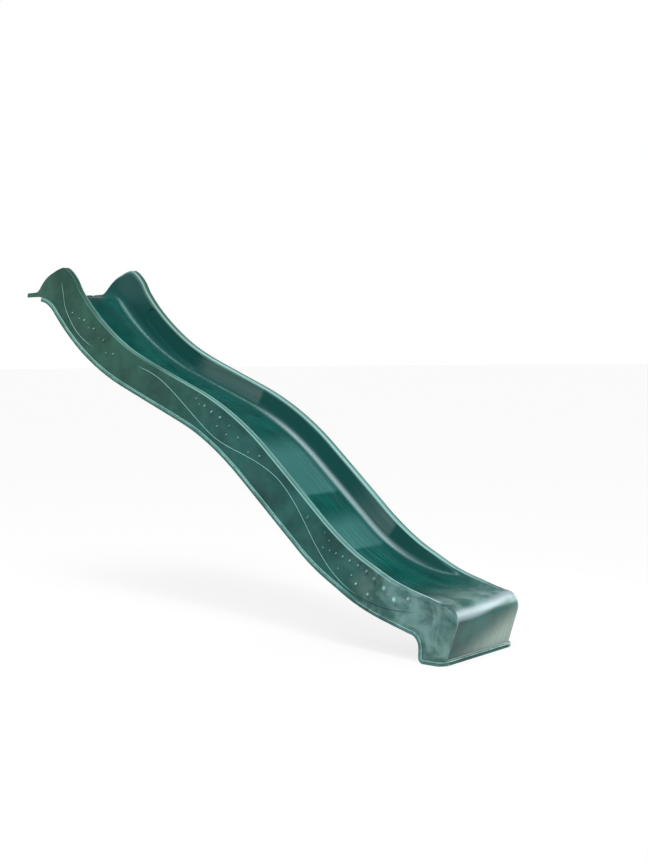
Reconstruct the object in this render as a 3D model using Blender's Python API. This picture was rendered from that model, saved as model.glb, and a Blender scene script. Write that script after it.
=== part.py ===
"""Wave slide for a play tower: one moulded chute, its platform fixings and its hose connector.

Run in Blender 4.5. Lengths are in metres and angles in degrees. +X runs from the platform down to the
exit, +Y is the rider's left, +Z is up, and the foot stands on the ground at Z = 0. The model is laid out
from the tip of the platform flange at X = 0, and an empty then brings its middle over the origin.
"""

import math

import bmesh
import bpy
import numpy as np
from mathutils import Matrix, Vector

# Heights of the whole slide
PLATFORM_HEIGHT = 1.200
EXIT_HEIGHT = 0.190

# Wall of the moulding
WALL = 0.005

# Sliding floor in side view, from the tip of the platform flange to the nose
DECK_LENGTH = 0.088
BROW_RADIUS = 0.135
UPPER_SLOPE = 47.0
UPPER_STRAIGHT = 0.020
DIP_RADIUS = 1.030
HUMP_SLOPE = 21.0
HUMP_STRAIGHT = 0.335
CREST_RADIUS = 1.080
LOWER_SLOPE = 41.0
EXIT_RADIUS = 0.620
EXIT_SLOPE = 5.5
EXIT_STRAIGHT = 0.203

# Cross-section of the chute
RIM_SPAN = 0.379
RIM_WIDTH = 0.028
RIM_EDGE_RADIUS = 0.007
FLOOR_FILLET = 0.045
INNER_DRAFT = 10.0
OUTER_DRAFT = 3.0
LIP_HEIGHT = 0.017
LIP_STEP = 0.007
LIP_SLANT = 0.005

# Heights of the rim above the floor, and how far along they lie
TIP_RISE = 0.012
TONGUE_RISE = 0.014
BROW_RISE = 0.097
SHOULDER_RISE = 0.145
HAND_RISE = 0.131
DIP_RISE = 0.114
WALL_RISE = 0.091
KNEE_RISE = 0.085
HALF_RISE = 0.063
LOW_RISE = 0.022
TONGUE_PLACE = 0.050
BROW_PLACE = 0.128
SHOULDER_PLACE = 0.166
HAND_PLACE = 0.250
DIP_PLACE = 0.460
WALL_PLACE = 0.800
RUN_OUT = 0.558
HALF_PLACE = 0.325
LOW_PLACE = 0.155

# How far the lip hangs below the floor
BROW_DROP = 0.0245
UPPER_DROP = 0.036
MIDDLE_DROP = 0.0475
LOWER_DROP = 0.060
KNEE_DROP = 0.062
CALF_DROP = 0.078
HEEL_DROP = 0.1125
KNEE_PLACE = 0.440
CALF_PLACE = 0.315

# Platform hook
HOOK_LENGTH = 0.095
HOOK_WEB = 0.005
HOOK_WEB_EDGE_GAP = 0.003
HOOK_CUT_INSET = 0.030

# Foot
NOSE_RADIUS = 0.048
UNDERCUT = 19.0
FOOT_LENGTH = 0.096
HEEL_RADIUS = 0.042
HEEL_CORNER_RADIUS = 0.018
FOOT_EDGE_RADIUS = 0.016
CORNER_RADIUS = 0.024

# Cross ribs under the floor
RIB_COUNT = 7
RIB_THICKNESS = 0.004
RIB_EDGE_GAP = 0.018
FIRST_RIB_PLACE = 0.260
LAST_RIB_SETBACK = 0.330

# Screws through the platform flange
SCREW_SPACING = 0.180
SCREW_INSET = 0.046
SCREW_DIAMETER = 0.006
SCREW_LENGTH = 0.050
SCREW_POINT = 0.008
SCREW_HEAD_DIAMETER = 0.012
SCREW_HEAD_HEIGHT = 0.0035
SCREW_SOCKET = 0.004
SCREW_SOCKET_DEPTH = 0.002
SCREW_HOLE_CLEARANCE = 0.0008

# Plastic cups under the screw heads, and their snap-on lids
CUP_DIAMETER = 0.022
CUP_FLOOR = 0.0015
CUP_WALL = 0.0014
CUP_HEIGHT = 0.0045
LID_WALL = 0.0012
LID_DOME = 0.0025

# Hose connector
INLET_ANGLE = 19.0
INLET_DIAMETER = 0.0204
INLET_HOLE_CLEARANCE = 0.0006
INLET_BORE = 0.009
INLET_FLANGE_DIAMETER = 0.032
INLET_FLANGE_EDGE = 0.0012
INLET_FLANGE_DOME = 0.0012
INLET_THREAD_LENGTH = 0.026
INLET_NECK_DIAMETER = 0.0136
INLET_NECK_LENGTH = 0.006
INLET_NIPPLE_DIAMETER = 0.0168
INLET_NIPPLE_LENGTH = 0.014
INLET_CHAMFER = 0.0015
GASKET_DIAMETER = 0.030
GASKET_THICKNESS = 0.002
NUT_ACROSS_FLATS = 0.030
NUT_THICKNESS = 0.007

# Gap between neighbouring pieces, and how far a fused web reaches into the wall that carries it
FIT_GAP = 0.0003
CURVED_SEAT_GAP = 0.0006
BITE = WALL / 2

# How finely curves are divided
ARC_STEP = 5.5
LONGEST_STEP = 0.065
FILLET_FACETS = 4
CORNER_FACETS = 3
HEEL_FACETS = 4
TURN_FACETS = 24

HALF_SPAN = RIM_SPAN / 2
DECK_TOP = PLATFORM_HEIGHT + WALL
CUTTER_REACH = 0.060


class FloorLine:
    """The sliding floor in side view: straight runs and arcs, each leaving as the last one arrived."""

    def __init__(self):
        self.runs = [
            (DECK_LENGTH, None, 0.0, 0.0),
            (None, BROW_RADIUS, 0.0, UPPER_SLOPE),
            (UPPER_STRAIGHT, None, UPPER_SLOPE, UPPER_SLOPE),
            (None, DIP_RADIUS, UPPER_SLOPE, HUMP_SLOPE),
            (HUMP_STRAIGHT, None, HUMP_SLOPE, HUMP_SLOPE),
            (None, CREST_RADIUS, HUMP_SLOPE, LOWER_SLOPE),
            (0.0, None, LOWER_SLOPE, LOWER_SLOPE),
            (None, EXIT_RADIUS, LOWER_SLOPE, EXIT_SLOPE),
            (EXIT_STRAIGHT, None, EXIT_SLOPE, EXIT_SLOPE),
        ]
        # The lower straight takes whatever fall the other runs leave between the deck and the exit.
        left = DECK_TOP - EXIT_HEIGHT - sum(self.fall(run) for run in self.runs)
        lower_straight = left / math.sin(math.radians(LOWER_SLOPE))
        self.runs[6] = (lower_straight, None, LOWER_SLOPE, LOWER_SLOPE)
        self.ends = [0.0]
        for run in self.runs:
            self.ends.append(self.ends[-1] + self.run_length(run))
        self.length = self.ends[-1]
        self.end_x, self.end_z, self.end_slope = self.at(self.length)

    @staticmethod
    def run_length(run):
        length, radius, start, end = run
        return length if radius is None else radius * math.radians(abs(end - start))

    @staticmethod
    def fall(run):
        length, radius, start, end = run
        if radius is None:
            return length * math.sin(math.radians(start))
        return radius * abs(math.cos(math.radians(start)) - math.cos(math.radians(end)))

    def at(self, station):
        """(x, z, downward slope in radians) at this distance along the floor."""
        x, z, slope = 0.0, DECK_TOP, 0.0
        for run, begin in zip(self.runs, self.ends):
            _, radius, start, end = run
            along = min(max(station - begin, 0.0), self.run_length(run))
            first = math.radians(start)
            if radius is None:
                slope = first
                x += along * math.cos(slope)
                z -= along * math.sin(slope)
            else:
                turn = math.copysign(1.0, end - start)
                slope = first + turn * along / radius
                x += turn * radius * (math.sin(slope) - math.sin(first))
                z += turn * radius * (math.cos(slope) - math.cos(first))
            if station <= begin + self.run_length(run):
                break
        return x, z, slope

    def square_to(self, station, height):
        """The point at this height square to the floor, as (x, z)."""
        x, z, slope = self.at(station)
        return np.array([x + height * math.sin(slope), z + height * math.cos(slope)])

    def frame_at(self, station):
        """A matrix at the floor's middle: X runs down the slide, Y across it and Z square to the floor."""
        x, z, slope = self.at(station)
        return Matrix.Translation((x, 0.0, z)) @ Matrix.Rotation(slope, 4, "Y")

    def stations(self, last):
        """Stations up to this last one: arcs divided by angle and straight runs by length."""
        found = [0.0]
        for run, begin in zip(self.runs, self.ends):
            length = self.run_length(run)
            if run[1] is None:
                count = math.ceil(length / LONGEST_STEP)
            else:
                count = math.ceil(abs(run[3] - run[2]) / ARC_STEP)
            found.extend(begin + length * (i + 1) / count for i in range(count))
        return [station for station in found if station < last - LONGEST_STEP / 4] + [last]


def smooth_through(places, values, wanted):
    """The height at one place on a smooth curve through the given places, which never overshoots them."""
    slopes = np.diff(values) / np.diff(places)
    tangents = np.zeros(len(values))
    tangents[0], tangents[-1] = slopes[0], slopes[-1]
    for i in range(1, len(slopes)):
        if slopes[i - 1] * slopes[i] > 0:
            tangents[i] = 2 * slopes[i - 1] * slopes[i] / (slopes[i - 1] + slopes[i])
    wanted = min(max(wanted, places[0]), places[-1])
    i = min(int(np.searchsorted(places, wanted, side="right")) - 1, len(slopes) - 1)
    width = places[i + 1] - places[i]
    t = (wanted - places[i]) / width
    return (
        values[i] * (2 * t**3 - 3 * t**2 + 1)
        + tangents[i] * width * (t**3 - 2 * t**2 + t)
        + values[i + 1] * (3 * t**2 - 2 * t**3)
        + tangents[i + 1] * width * (t**3 - t**2)
    )


class Chute:
    """The outer skin of the moulding, as rows and columns of points."""

    def __init__(self):
        self.floor = FloorLine()
        length = self.floor.length
        self.flat_from = length - CORNER_RADIUS
        self.nose_profile()
        self.heel_x = self.front[-1][0] - FOOT_LENGTH
        slope = self.floor.end_slope
        heel_run = self.floor.end_x - self.heel_x + HEEL_RADIUS * (1 - math.sin(slope))
        self.heel_start = length - heel_run / math.cos(slope) + HEEL_DROP * math.tan(slope)
        self.place_stations()

    def nose_profile(self):
        """(x, z) down the front: from the floor's end round the nose and down the undercut face."""
        x, z, slope = self.floor.end_x, self.floor.end_z, self.floor.end_slope
        last = math.radians(90 + UNDERCUT)
        self.front = [(x, z)]
        for share in (0.12, 0.28, 0.42, 0.7, 1.0):
            angle = slope + (last - slope) * share
            nose_x = x + NOSE_RADIUS * (math.sin(angle) - math.sin(slope))
            nose_z = z + NOSE_RADIUS * (math.cos(angle) - math.cos(slope))
            self.front.append((nose_x, nose_z))
        face_x, face_z = self.front[-1]
        face_x -= (face_z - LIP_HEIGHT) * math.tan(math.radians(UNDERCUT))
        self.front.append((face_x, LIP_HEIGHT))
        self.front.append((face_x + LIP_STEP, LIP_HEIGHT - LIP_SLANT))
        self.front.append((face_x + LIP_STEP, 0.0))

    def rise(self, station):
        """The rim's height above the floor."""
        length = self.floor.length
        places = [
            0.0,
            TONGUE_PLACE,
            BROW_PLACE,
            SHOULDER_PLACE,
            HAND_PLACE,
            DIP_PLACE,
            WALL_PLACE,
            length - RUN_OUT,
            length - HALF_PLACE,
            length - LOW_PLACE,
            self.flat_from,
        ]
        heights = [
            TIP_RISE,
            TONGUE_RISE,
            BROW_RISE,
            SHOULDER_RISE,
            HAND_RISE,
            DIP_RISE,
            WALL_RISE,
            KNEE_RISE,
            HALF_RISE,
            LOW_RISE,
            0.0,
        ]
        return smooth_through(places, heights, station)

    def drop(self, station):
        """How far the lip's edge hangs below the floor."""
        ends, length = self.floor.ends, self.floor.length
        places = [ends[2], DIP_PLACE, ends[5], ends[6], length - RUN_OUT]
        drops = [BROW_DROP, UPPER_DROP, MIDDLE_DROP, LOWER_DROP, LOWER_DROP]
        places += [length - KNEE_PLACE, length - CALF_PLACE, self.heel_start]
        drops += [KNEE_DROP, CALF_DROP, HEEL_DROP]
        return smooth_through(places, drops, station)

    def place_stations(self):
        """The stations of the side columns, each with its lip's edge and the lip's start on the wall."""
        floor = self.floor
        self.stations = floor.stations(self.heel_start)
        self.lips = []
        for station in self.stations:
            drop = self.drop(station)
            self.lips.append((floor.square_to(station, -drop), floor.square_to(station, LIP_HEIGHT - drop)))
        self.foot_start = len(self.stations) - 1
        path = self.heel_path()
        count = len(path)
        for i, lip in enumerate(path):
            share = (i + 1) / count
            self.stations.append(self.heel_start + share * (self.flat_from - self.heel_start))
            self.lips.append(lip)

    def heel_path(self):
        """The lip round the heel and along the ground, as (edge, start on the wall) pairs."""
        edge = self.floor.square_to(self.heel_start, -HEEL_DROP)
        slope = self.floor.end_slope
        centre = edge - HEEL_RADIUS * np.array([math.sin(slope), math.cos(slope)])
        path = []
        for i in range(1, HEEL_FACETS + 1):
            angle = slope + (math.pi / 2 - slope) * i / HEEL_FACETS
            outward = np.array([math.sin(angle), math.cos(angle)])
            path.append((centre + HEEL_RADIUS * outward, centre + (HEEL_RADIUS + LIP_HEIGHT) * outward))
        corner = np.array([self.heel_x + HEEL_CORNER_RADIUS, HEEL_CORNER_RADIUS])
        for i in range(CORNER_FACETS + 1):
            angle = math.pi / 2 * i / CORNER_FACETS
            outward = np.array([-math.cos(angle), -math.sin(angle)])
            inner = corner + (HEEL_CORNER_RADIUS - LIP_HEIGHT) * outward
            path.append((corner + HEEL_CORNER_RADIUS * outward, inner))
        front_x = self.front[6][0] - CORNER_RADIUS
        for share in (0.5, 1.0):
            x = corner[0] + share * (front_x - corner[0])
            path.append((np.array([x, 0.0]), np.array([x, LIP_HEIGHT])))
        return path

    def edge_radius(self, station):
        """The rim's outer rounding, which widens over the foot."""
        share = (station - self.heel_start) / (self.flat_from - self.heel_start)
        share = min(max(share, 0.0), 1.0)
        return RIM_EDGE_RADIUS + (FOOT_EDGE_RADIUS - RIM_EDGE_RADIUS) * share**2 * (3 - 2 * share)

    @staticmethod
    def half_width(depth, radius):
        """Half the width over the side walls at this depth below a rim with this outer rounding."""
        if depth < radius:
            return HALF_SPAN - radius + math.sqrt(radius**2 - (radius - depth) ** 2)
        return HALF_SPAN + (depth - radius) * math.tan(math.radians(OUTER_DRAFT))

    def side_column(self, i):
        """Points (x, half width, z) down a side wall's outside: rim edge, wall and stepped-out lip."""
        rim = self.floor.square_to(self.stations[i], self.rise(self.stations[i]))
        edge, start = self.lips[i]
        height = float(np.linalg.norm(start - rim))
        down = (start - rim) / height
        radius = self.edge_radius(self.stations[i])
        plain = [radius * (1 - math.cos(math.radians(angle))) for angle in (0, 30, 60, 90)]
        plain += [radius + (height - radius) * share for share in (1 / 3, 2 / 3, 1)]
        front_x, front_z = zip(*self.front)
        share = max(0, i - self.foot_start) / (len(self.stations) - 1 - self.foot_start)
        column = []
        for row, depth in enumerate(plain):
            to_front = (front_z[0] - front_z[row]) * height / (front_z[0] - front_z[6])
            depth += share * (to_front - depth)
            x, z = rim + depth * down
            # Towards the front the columns bend until the last one follows the nose.
            straight_x = front_x[0] + (front_x[6] - front_x[0]) * depth / height
            x += share**2 * (front_x[row] - straight_x)
            column.append((x, self.half_width(depth, radius), z))
        wide = self.half_width(height, radius) + LIP_STEP
        slant = start + (edge - start) * LIP_SLANT / np.linalg.norm(edge - start)
        column.append((slant[0], wide, slant[1]))
        column.append((edge[0], wide, edge[1]))
        return column

    def front_column(self, y_share, turn):
        """Points down the front. turn is 0 where a corner leaves the side wall, and 1 at the front."""
        column = []
        inner_y = HALF_SPAN - RIM_WIDTH + RIM_EDGE_RADIUS
        angle = turn * math.pi / 2
        for (x, z), (_, side_y, _) in zip(self.front, self.side_column(len(self.stations) - 1)):
            reach = CORNER_RADIUS if z >= LIP_HEIGHT else CORNER_RADIUS + LIP_STEP
            out_x = x - reach * (1 - math.sin(angle))
            out_y = inner_y + (side_y - inner_y) * math.cos(angle)
            column.append((out_x, y_share * out_y, z))
        return column

    def section(self, station):
        """(y, height above the floor) from the rim's outer rounding to the middle of the floor."""
        rise = self.rise(station)
        full = max(rise, WALL_RISE)
        inner = HALF_SPAN - RIM_WIDTH
        steep = 90 - INNER_DRAFT
        fillet_top = FLOOR_FILLET * (1 - math.cos(math.radians(steep)))
        lean = (WALL_RISE - RIM_EDGE_RADIUS - fillet_top) * math.tan(math.radians(INNER_DRAFT))
        floor_edge = inner - lean - FLOOR_FILLET * math.sin(math.radians(steep))
        wall = []
        for angle in (0, 45, 90):
            across = RIM_EDGE_RADIUS * (1 - math.sin(math.radians(angle)))
            below = RIM_EDGE_RADIUS * (1 - math.cos(math.radians(angle)))
            wall.append((inner + across, full - below))
        for i in range(FILLET_FACETS, -1, -1):
            angle = math.radians(steep * i / FILLET_FACETS)
            wall.append((floor_edge + FLOOR_FILLET * math.sin(angle), FLOOR_FILLET * (1 - math.cos(angle))))
        # A wall that is lower than the usual one eases into an even ramp, which is flat when it has no rise.
        ease = 1 - rise / full
        points = [(HALF_SPAN - self.edge_radius(station), rise)]
        for i, (y, height) in enumerate(wall):
            share = i / (len(wall) - 1)
            ramp_y = wall[0][0] + (floor_edge - wall[0][0]) * share
            ramp_height = (1 + math.cos(math.pi * share)) / 2
            height = (1 - ease) * height / full + ease * ramp_height
            points.append((y + ease * (ramp_y - y), rise * height))
        points.append((0.0, 0.0))
        return points

    def top_row(self, station):
        """Points across the chute at a station, from the right rim to the left one."""
        half = []
        for y, height in self.section(station):
            x, z = self.floor.square_to(station, height)
            half.append((x, y, z))
        return [(x, -y, z) for x, y, z in half] + half[-2::-1]

    def web_outline(self, station, edge_gap):
        """(y, height above the floor) round a web under the floor, with its ends inside the wall.

        The web stops this far above the edge of the lip.
        """
        rise, drop = self.rise(station), self.drop(station)
        under_floor = shifted(self.section(station), BITE)[-FILLET_FACETS - 1:].tolist()
        shoulder = under_floor[0][1]
        lip = LIP_HEIGHT - drop
        wall_y = self.half_width(rise - lip, RIM_EDGE_RADIUS)
        skin = [
            (self.half_width(rise - shoulder, RIM_EDGE_RADIUS), shoulder),
            (wall_y, lip),
            (wall_y + LIP_STEP, lip - LIP_SLANT),
            (wall_y + LIP_STEP, -drop),
        ]
        end = shifted(skin, -BITE).tolist()
        end = end[:2] if edge_gap >= LIP_HEIGHT else end
        end[-1][1] = edge_gap - drop
        half = end[::-1] + under_floor
        return half + [[-y, height] for y, height in half[-2::-1]]


def shifted(points, distance):
    """A run of 2-D points moved to its left by this distance."""
    points = np.array(points)
    along = np.diff(points, axis=0)
    along /= np.linalg.norm(along, axis=1)[:, None]
    left = np.column_stack((-along[:, 1], along[:, 0]))
    before = np.vstack((left[:1], left))
    after = np.vstack((left, left[-1:]))
    mitre = distance / (1 + np.sum(before * after, axis=1))
    return points + mitre[:, None] * (before + after)


def add_grid(mesh, columns):
    """Faces between neighbouring columns of vertices."""
    for left, right in zip(columns, columns[1:]):
        for corners in zip(left, left[1:], right[1:], right):
            mesh.faces.new(corners)


def chute_skin(chute):
    """The open outer skin: trough and rims, both side walls, nose and lip, with its faces outwards."""
    mesh = bmesh.new()
    rows = []
    for station in chute.stations + [chute.floor.length]:
        rows.append([mesh.verts.new(point) for point in chute.top_row(station)])
    # The rim's corners at the foot are rounded, so the last row has no points there.
    for vertex in (rows[-1].pop(0), rows[-1].pop()):
        mesh.verts.remove(vertex)
    add_grid(mesh, rows[-2::-1])
    add_grid(mesh, [rows[-1], rows[-2][1:-1]])

    columns = {}
    for side, outer in ((-1, 0), (1, -1)):
        wall = []
        for i, row in enumerate(rows[:-1]):
            points = [(x, side * y, z) for x, y, z in chute.side_column(i)]
            wall.append([row[outer]] + [mesh.verts.new(point) for point in points[1:]])
        turns = [i / CORNER_FACETS for i in range(1, CORNER_FACETS)]
        corner = [[mesh.verts.new(p) for p in chute.front_column(side, turn)] for turn in turns]
        columns[side] = wall + corner
    front = []
    for vertex in rows[-1]:
        points = chute.front_column(vertex.co.y / rows[-1][-1].co.y, 1.0)
        front.append([vertex] + [mesh.verts.new(point) for point in points[1:]])
    add_grid(mesh, columns[-1] + front + columns[1][::-1])

    for side, end in ((-1, 0), (1, -1)):
        fan = [column[0] for column in columns[side][-CORNER_FACETS:]] + [rows[-1][end]]
        middle = rows[-2][1 if end == 0 else -2]
        for a, b in zip(fan[::-side], fan[::-side][1:]):
            mesh.faces.new((middle, a, b))
    return mesh


def new_object(name, mesh, parent=None):
    """An object in the scene from a bmesh."""
    data = bpy.data.meshes.new(name)
    mesh.to_mesh(data)
    mesh.free()
    obj = bpy.data.objects.new(name, data)
    bpy.context.scene.collection.objects.link(obj)
    obj.parent = parent
    return obj


def add_boolean(obj, tool, operation):
    """A live boolean, with its tool kept out of renders."""
    tool.hide_render = True
    tool.display_type = "WIRE"
    modifier = obj.modifiers.new(tool.name, "BOOLEAN")
    modifier.operation = operation
    modifier.solver = "EXACT"
    modifier.object = tool


def finish(obj, material, smooth_angle=35.0):
    """Apply the modifiers, remove their tools, shade the piece smooth and give it its material."""
    tools = [modifier.object for modifier in obj.modifiers if modifier.type == "BOOLEAN"]
    evaluated = obj.evaluated_get(bpy.context.evaluated_depsgraph_get())
    data = bpy.data.meshes.new_from_object(evaluated)
    obj.modifiers.clear()
    obj.data = data
    for tool in tools:
        bpy.data.objects.remove(tool)
    data.name = obj.name
    data.materials.clear()
    data.materials.append(material)
    data.shade_smooth()
    data.set_sharp_from_angle(angle=math.radians(smooth_angle))


def plate(outline, thickness, matrix):
    """A flat plate across the slide: its outline lies in the matrix's Y and Z and it is thick along X."""
    mesh = bmesh.new()
    near = [mesh.verts.new(matrix @ Vector((0.0, y, z))) for y, z in outline]
    far = [mesh.verts.new(matrix @ Vector((thickness, y, z))) for y, z in outline]
    mesh.faces.new(near)
    mesh.faces.new(far[::-1])
    add_grid(mesh, [near + near[:1], far + far[:1]])
    bmesh.ops.recalc_face_normals(mesh, faces=mesh.faces)
    return mesh


def turned(profile, facets=TURN_FACETS):
    """A solid turned about Z from (radius, z) points. One that never meets the axis closes on itself."""
    mesh = bmesh.new()
    verts = [mesh.verts.new((radius, 0.0, z)) for radius, z in profile]
    edges = [mesh.edges.new(pair) for pair in zip(verts, verts[1:])]
    if profile[0][0] > 0:
        edges.append(mesh.edges.new((verts[-1], verts[0])))
    bmesh.ops.spin(
        mesh, geom=verts + edges, axis=(0, 0, 1), cent=(0, 0, 0), angle=2 * math.pi, steps=facets
    )
    bmesh.ops.remove_doubles(mesh, verts=mesh.verts, dist=1e-6)
    bmesh.ops.recalc_face_normals(mesh, faces=mesh.faces)
    return mesh


def hexagon(across_flats, low, high):
    """A hexagonal bar about Z between two heights."""
    mesh = bmesh.new()
    bmesh.ops.create_cone(
        mesh,
        cap_ends=True,
        segments=6,
        radius1=across_flats / math.sqrt(3),
        radius2=across_flats / math.sqrt(3),
        depth=high - low,
        matrix=Matrix.Translation((0.0, 0.0, (low + high) / 2)),
    )
    return mesh


def make_material(name, colour, roughness, metallic=0.0):
    """A plain Principled material."""
    material = bpy.data.materials.new(name)
    material.use_nodes = True
    shader = material.node_tree.nodes["Principled BSDF"]
    shader.inputs["Base Color"].default_value = (*colour, 1.0)
    shader.inputs["Roughness"].default_value = roughness
    shader.inputs["Metallic"].default_value = metallic
    return material


def inlet_seat_depth():
    """How deep the flat seat of the connector's flange is sunk at the middle of the rounded floor."""
    radius = INLET_FLANGE_DIAMETER / 2 + FIT_GAP
    return BROW_RADIUS - math.sqrt(BROW_RADIUS**2 - radius**2)


def gasket_top():
    """Height of the gasket's top, which meets the hollow underside of the rounded floor at its edges."""
    inner_radius = BROW_RADIUS - WALL
    radius = GASKET_DIAMETER / 2
    return math.sqrt(inner_radius**2 - radius**2) - BROW_RADIUS - CURVED_SEAT_GAP


def build_chute(chute, inlet_place, parent, material):
    """The moulding: a shelled skin with the hook's web and cross ribs fused in, and the fixings' holes."""
    obj = new_object("slide_chute", chute_skin(chute), parent)
    shell = obj.modifiers.new("shell", "SOLIDIFY")
    shell.thickness = WALL
    shell.offset = -1.0
    shell.use_even_offset = True

    # The side walls stop where the platform's edge comes, so that the flange lies on top of it.
    for side in (-1, 1):
        inner, outer = HALF_SPAN - HOOK_CUT_INSET, HALF_SPAN + CUTTER_REACH
        low, high = PLATFORM_HEIGHT - CUTTER_REACH, PLATFORM_HEIGHT
        outline = [(side * inner, low), (side * outer, low), (side * outer, high), (side * inner, high)]
        back = Matrix.Translation((-CUTTER_REACH, 0.0, 0.0))
        block = plate(outline, HOOK_LENGTH + FIT_GAP + CUTTER_REACH, back)
        add_boolean(obj, new_object(f"platform edge {side}", block, parent), "DIFFERENCE")
    hook_end = DECK_LENGTH + BROW_RADIUS * math.asin((HOOK_LENGTH - DECK_LENGTH) / BROW_RADIUS)
    outline = chute.web_outline(hook_end, HOOK_WEB_EDGE_GAP)
    web = plate(outline, HOOK_WEB, Matrix.Translation((HOOK_LENGTH, 0.0, chute.floor.at(hook_end)[1])))
    add_boolean(obj, new_object("hook web", web, parent), "UNION")
    last_rib = chute.floor.length - LAST_RIB_SETBACK
    for i in range(RIB_COUNT):
        station = FIRST_RIB_PLACE + (last_rib - FIRST_RIB_PLACE) * i / (RIB_COUNT - 1)
        outline = chute.web_outline(station, RIB_EDGE_GAP)
        matrix = chute.floor.frame_at(station) @ Matrix.Translation((-RIB_THICKNESS / 2, 0.0, 0.0))
        rib = plate(outline, RIB_THICKNESS, matrix)
        add_boolean(obj, new_object(f"cross rib {i + 1}", rib, parent), "UNION")

    hole_radius = SCREW_DIAMETER / 2 + SCREW_HOLE_CLEARANCE
    for side in (-1, 1):
        low, high = -CUTTER_REACH, CUTTER_REACH
        bar = turned([(0.0, low), (hole_radius, low), (hole_radius, high), (0.0, high)])
        hole = new_object(f"screw hole {side}", bar, parent)
        hole.location = (SCREW_INSET, side * SCREW_SPACING / 2, DECK_TOP)
        add_boolean(obj, hole, "DIFFERENCE")
    bore = INLET_DIAMETER / 2 + INLET_HOLE_CLEARANCE
    seat = INLET_FLANGE_DIAMETER / 2 + FIT_GAP
    depth = inlet_seat_depth()
    steps = [
        (0.0, -CUTTER_REACH / 2),
        (bore, -CUTTER_REACH / 2),
        (bore, -depth),
        (seat, -depth),
        (seat, CUTTER_REACH / 2),
        (0.0, CUTTER_REACH / 2),
    ]
    hole = new_object("inlet hole and seat", turned(steps), parent)
    hole.matrix_local = inlet_place
    add_boolean(obj, hole, "DIFFERENCE")
    bpy.context.view_layer.update()
    finish(obj, material)


def build_screw(name, place, parent, material):
    """A countersink-free pan-head screw with a hexagon socket and a plain point, standing on its cup."""
    seat = CUP_FLOOR + 2 * FIT_GAP
    head_radius = SCREW_HEAD_DIAMETER / 2
    shank_radius = SCREW_DIAMETER / 2
    top = seat + SCREW_HEAD_HEIGHT
    profile = [
        (0.0, seat - SCREW_LENGTH),
        (shank_radius, seat - SCREW_LENGTH + SCREW_POINT),
        (shank_radius, seat),
        (head_radius, seat),
        (head_radius, seat + SCREW_HEAD_HEIGHT * 0.45),
        (head_radius * 0.88, seat + SCREW_HEAD_HEIGHT * 0.85),
        (head_radius * 0.62, top),
        (0.0, top),
    ]
    obj = new_object(name, turned(profile), parent)
    obj.location = place
    drive = hexagon(SCREW_SOCKET, top - SCREW_SOCKET_DEPTH, top + WALL)
    socket = new_object(f"socket of {name}", drive, parent)
    socket.location = place
    add_boolean(obj, socket, "DIFFERENCE")
    bpy.context.view_layer.update()
    finish(obj, material)


def build_cup(name, place, parent, material):
    """The cup under a screw head: a holed floor within a ring."""
    hole = SCREW_DIAMETER / 2 + FIT_GAP
    outer = CUP_DIAMETER / 2
    inner = outer - CUP_WALL
    profile = [
        (hole, FIT_GAP),
        (outer, FIT_GAP),
        (outer, FIT_GAP + CUP_HEIGHT),
        (inner, FIT_GAP + CUP_HEIGHT),
        (inner, FIT_GAP + CUP_FLOOR),
        (hole, FIT_GAP + CUP_FLOOR),
    ]
    obj = new_object(name, turned(profile), parent)
    obj.location = place
    finish(obj, material)


def build_lid(name, place, parent, material):
    """The lid over a cup: a skirt outside its ring and a domed top over the screw head."""
    inner = CUP_DIAMETER / 2 + FIT_GAP
    outer = inner + LID_WALL
    ceiling = CUP_FLOOR + SCREW_HEAD_HEIGHT + 3 * FIT_GAP
    profile = [
        (0.0, ceiling),
        (inner, ceiling),
        (inner, FIT_GAP),
        (outer, FIT_GAP),
        (outer, ceiling),
        (outer * 0.93, ceiling + LID_DOME * 0.45),
        (outer * 0.75, ceiling + LID_DOME * 0.76),
        (outer * 0.45, ceiling + LID_DOME * 0.95),
        (0.0, ceiling + LID_DOME),
    ]
    obj = new_object(name, turned(profile), parent)
    obj.location = place
    finish(obj, material)


def build_inlet(place, parent, material):
    """The hose connector: a domed flange on its seat, a shank through the floor, and a hose nipple below."""
    bore = INLET_BORE / 2
    flange = INLET_FLANGE_DIAMETER / 2
    shank = INLET_DIAMETER / 2
    neck = INLET_NECK_DIAMETER / 2
    nipple = INLET_NIPPLE_DIAMETER / 2
    seat = FIT_GAP - inlet_seat_depth()
    shank_end = seat - INLET_THREAD_LENGTH
    neck_end = shank_end - INLET_NECK_LENGTH
    end = neck_end - INLET_NIPPLE_LENGTH
    edge_top = seat + INLET_FLANGE_EDGE
    profile = [
        (bore, end),
        (nipple - INLET_CHAMFER, end),
        (nipple, end + INLET_CHAMFER),
        (nipple, neck_end),
        (neck, neck_end),
        (neck, shank_end),
        (shank - INLET_CHAMFER, shank_end),
        (shank, shank_end + INLET_CHAMFER),
        (shank, seat),
        (flange, seat),
        (flange, edge_top),
        (flange * 0.8, edge_top + INLET_FLANGE_DOME * 0.6),
        (flange * 0.5, edge_top + INLET_FLANGE_DOME),
        (bore, edge_top + INLET_FLANGE_DOME),
    ]
    obj = new_object("hose_inlet", turned(profile), parent)
    obj.matrix_local = place
    finish(obj, material)


def build_gasket(place, parent, material):
    """The rubber ring between the floor's underside and the lock nut."""
    inner = INLET_DIAMETER / 2 + FIT_GAP
    outer = GASKET_DIAMETER / 2
    top = gasket_top()
    low = top - GASKET_THICKNESS
    ring = turned([(inner, low), (outer, low), (outer, top), (inner, top)])
    obj = new_object("inlet_gasket", ring, parent)
    obj.matrix_local = place
    finish(obj, material)


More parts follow.
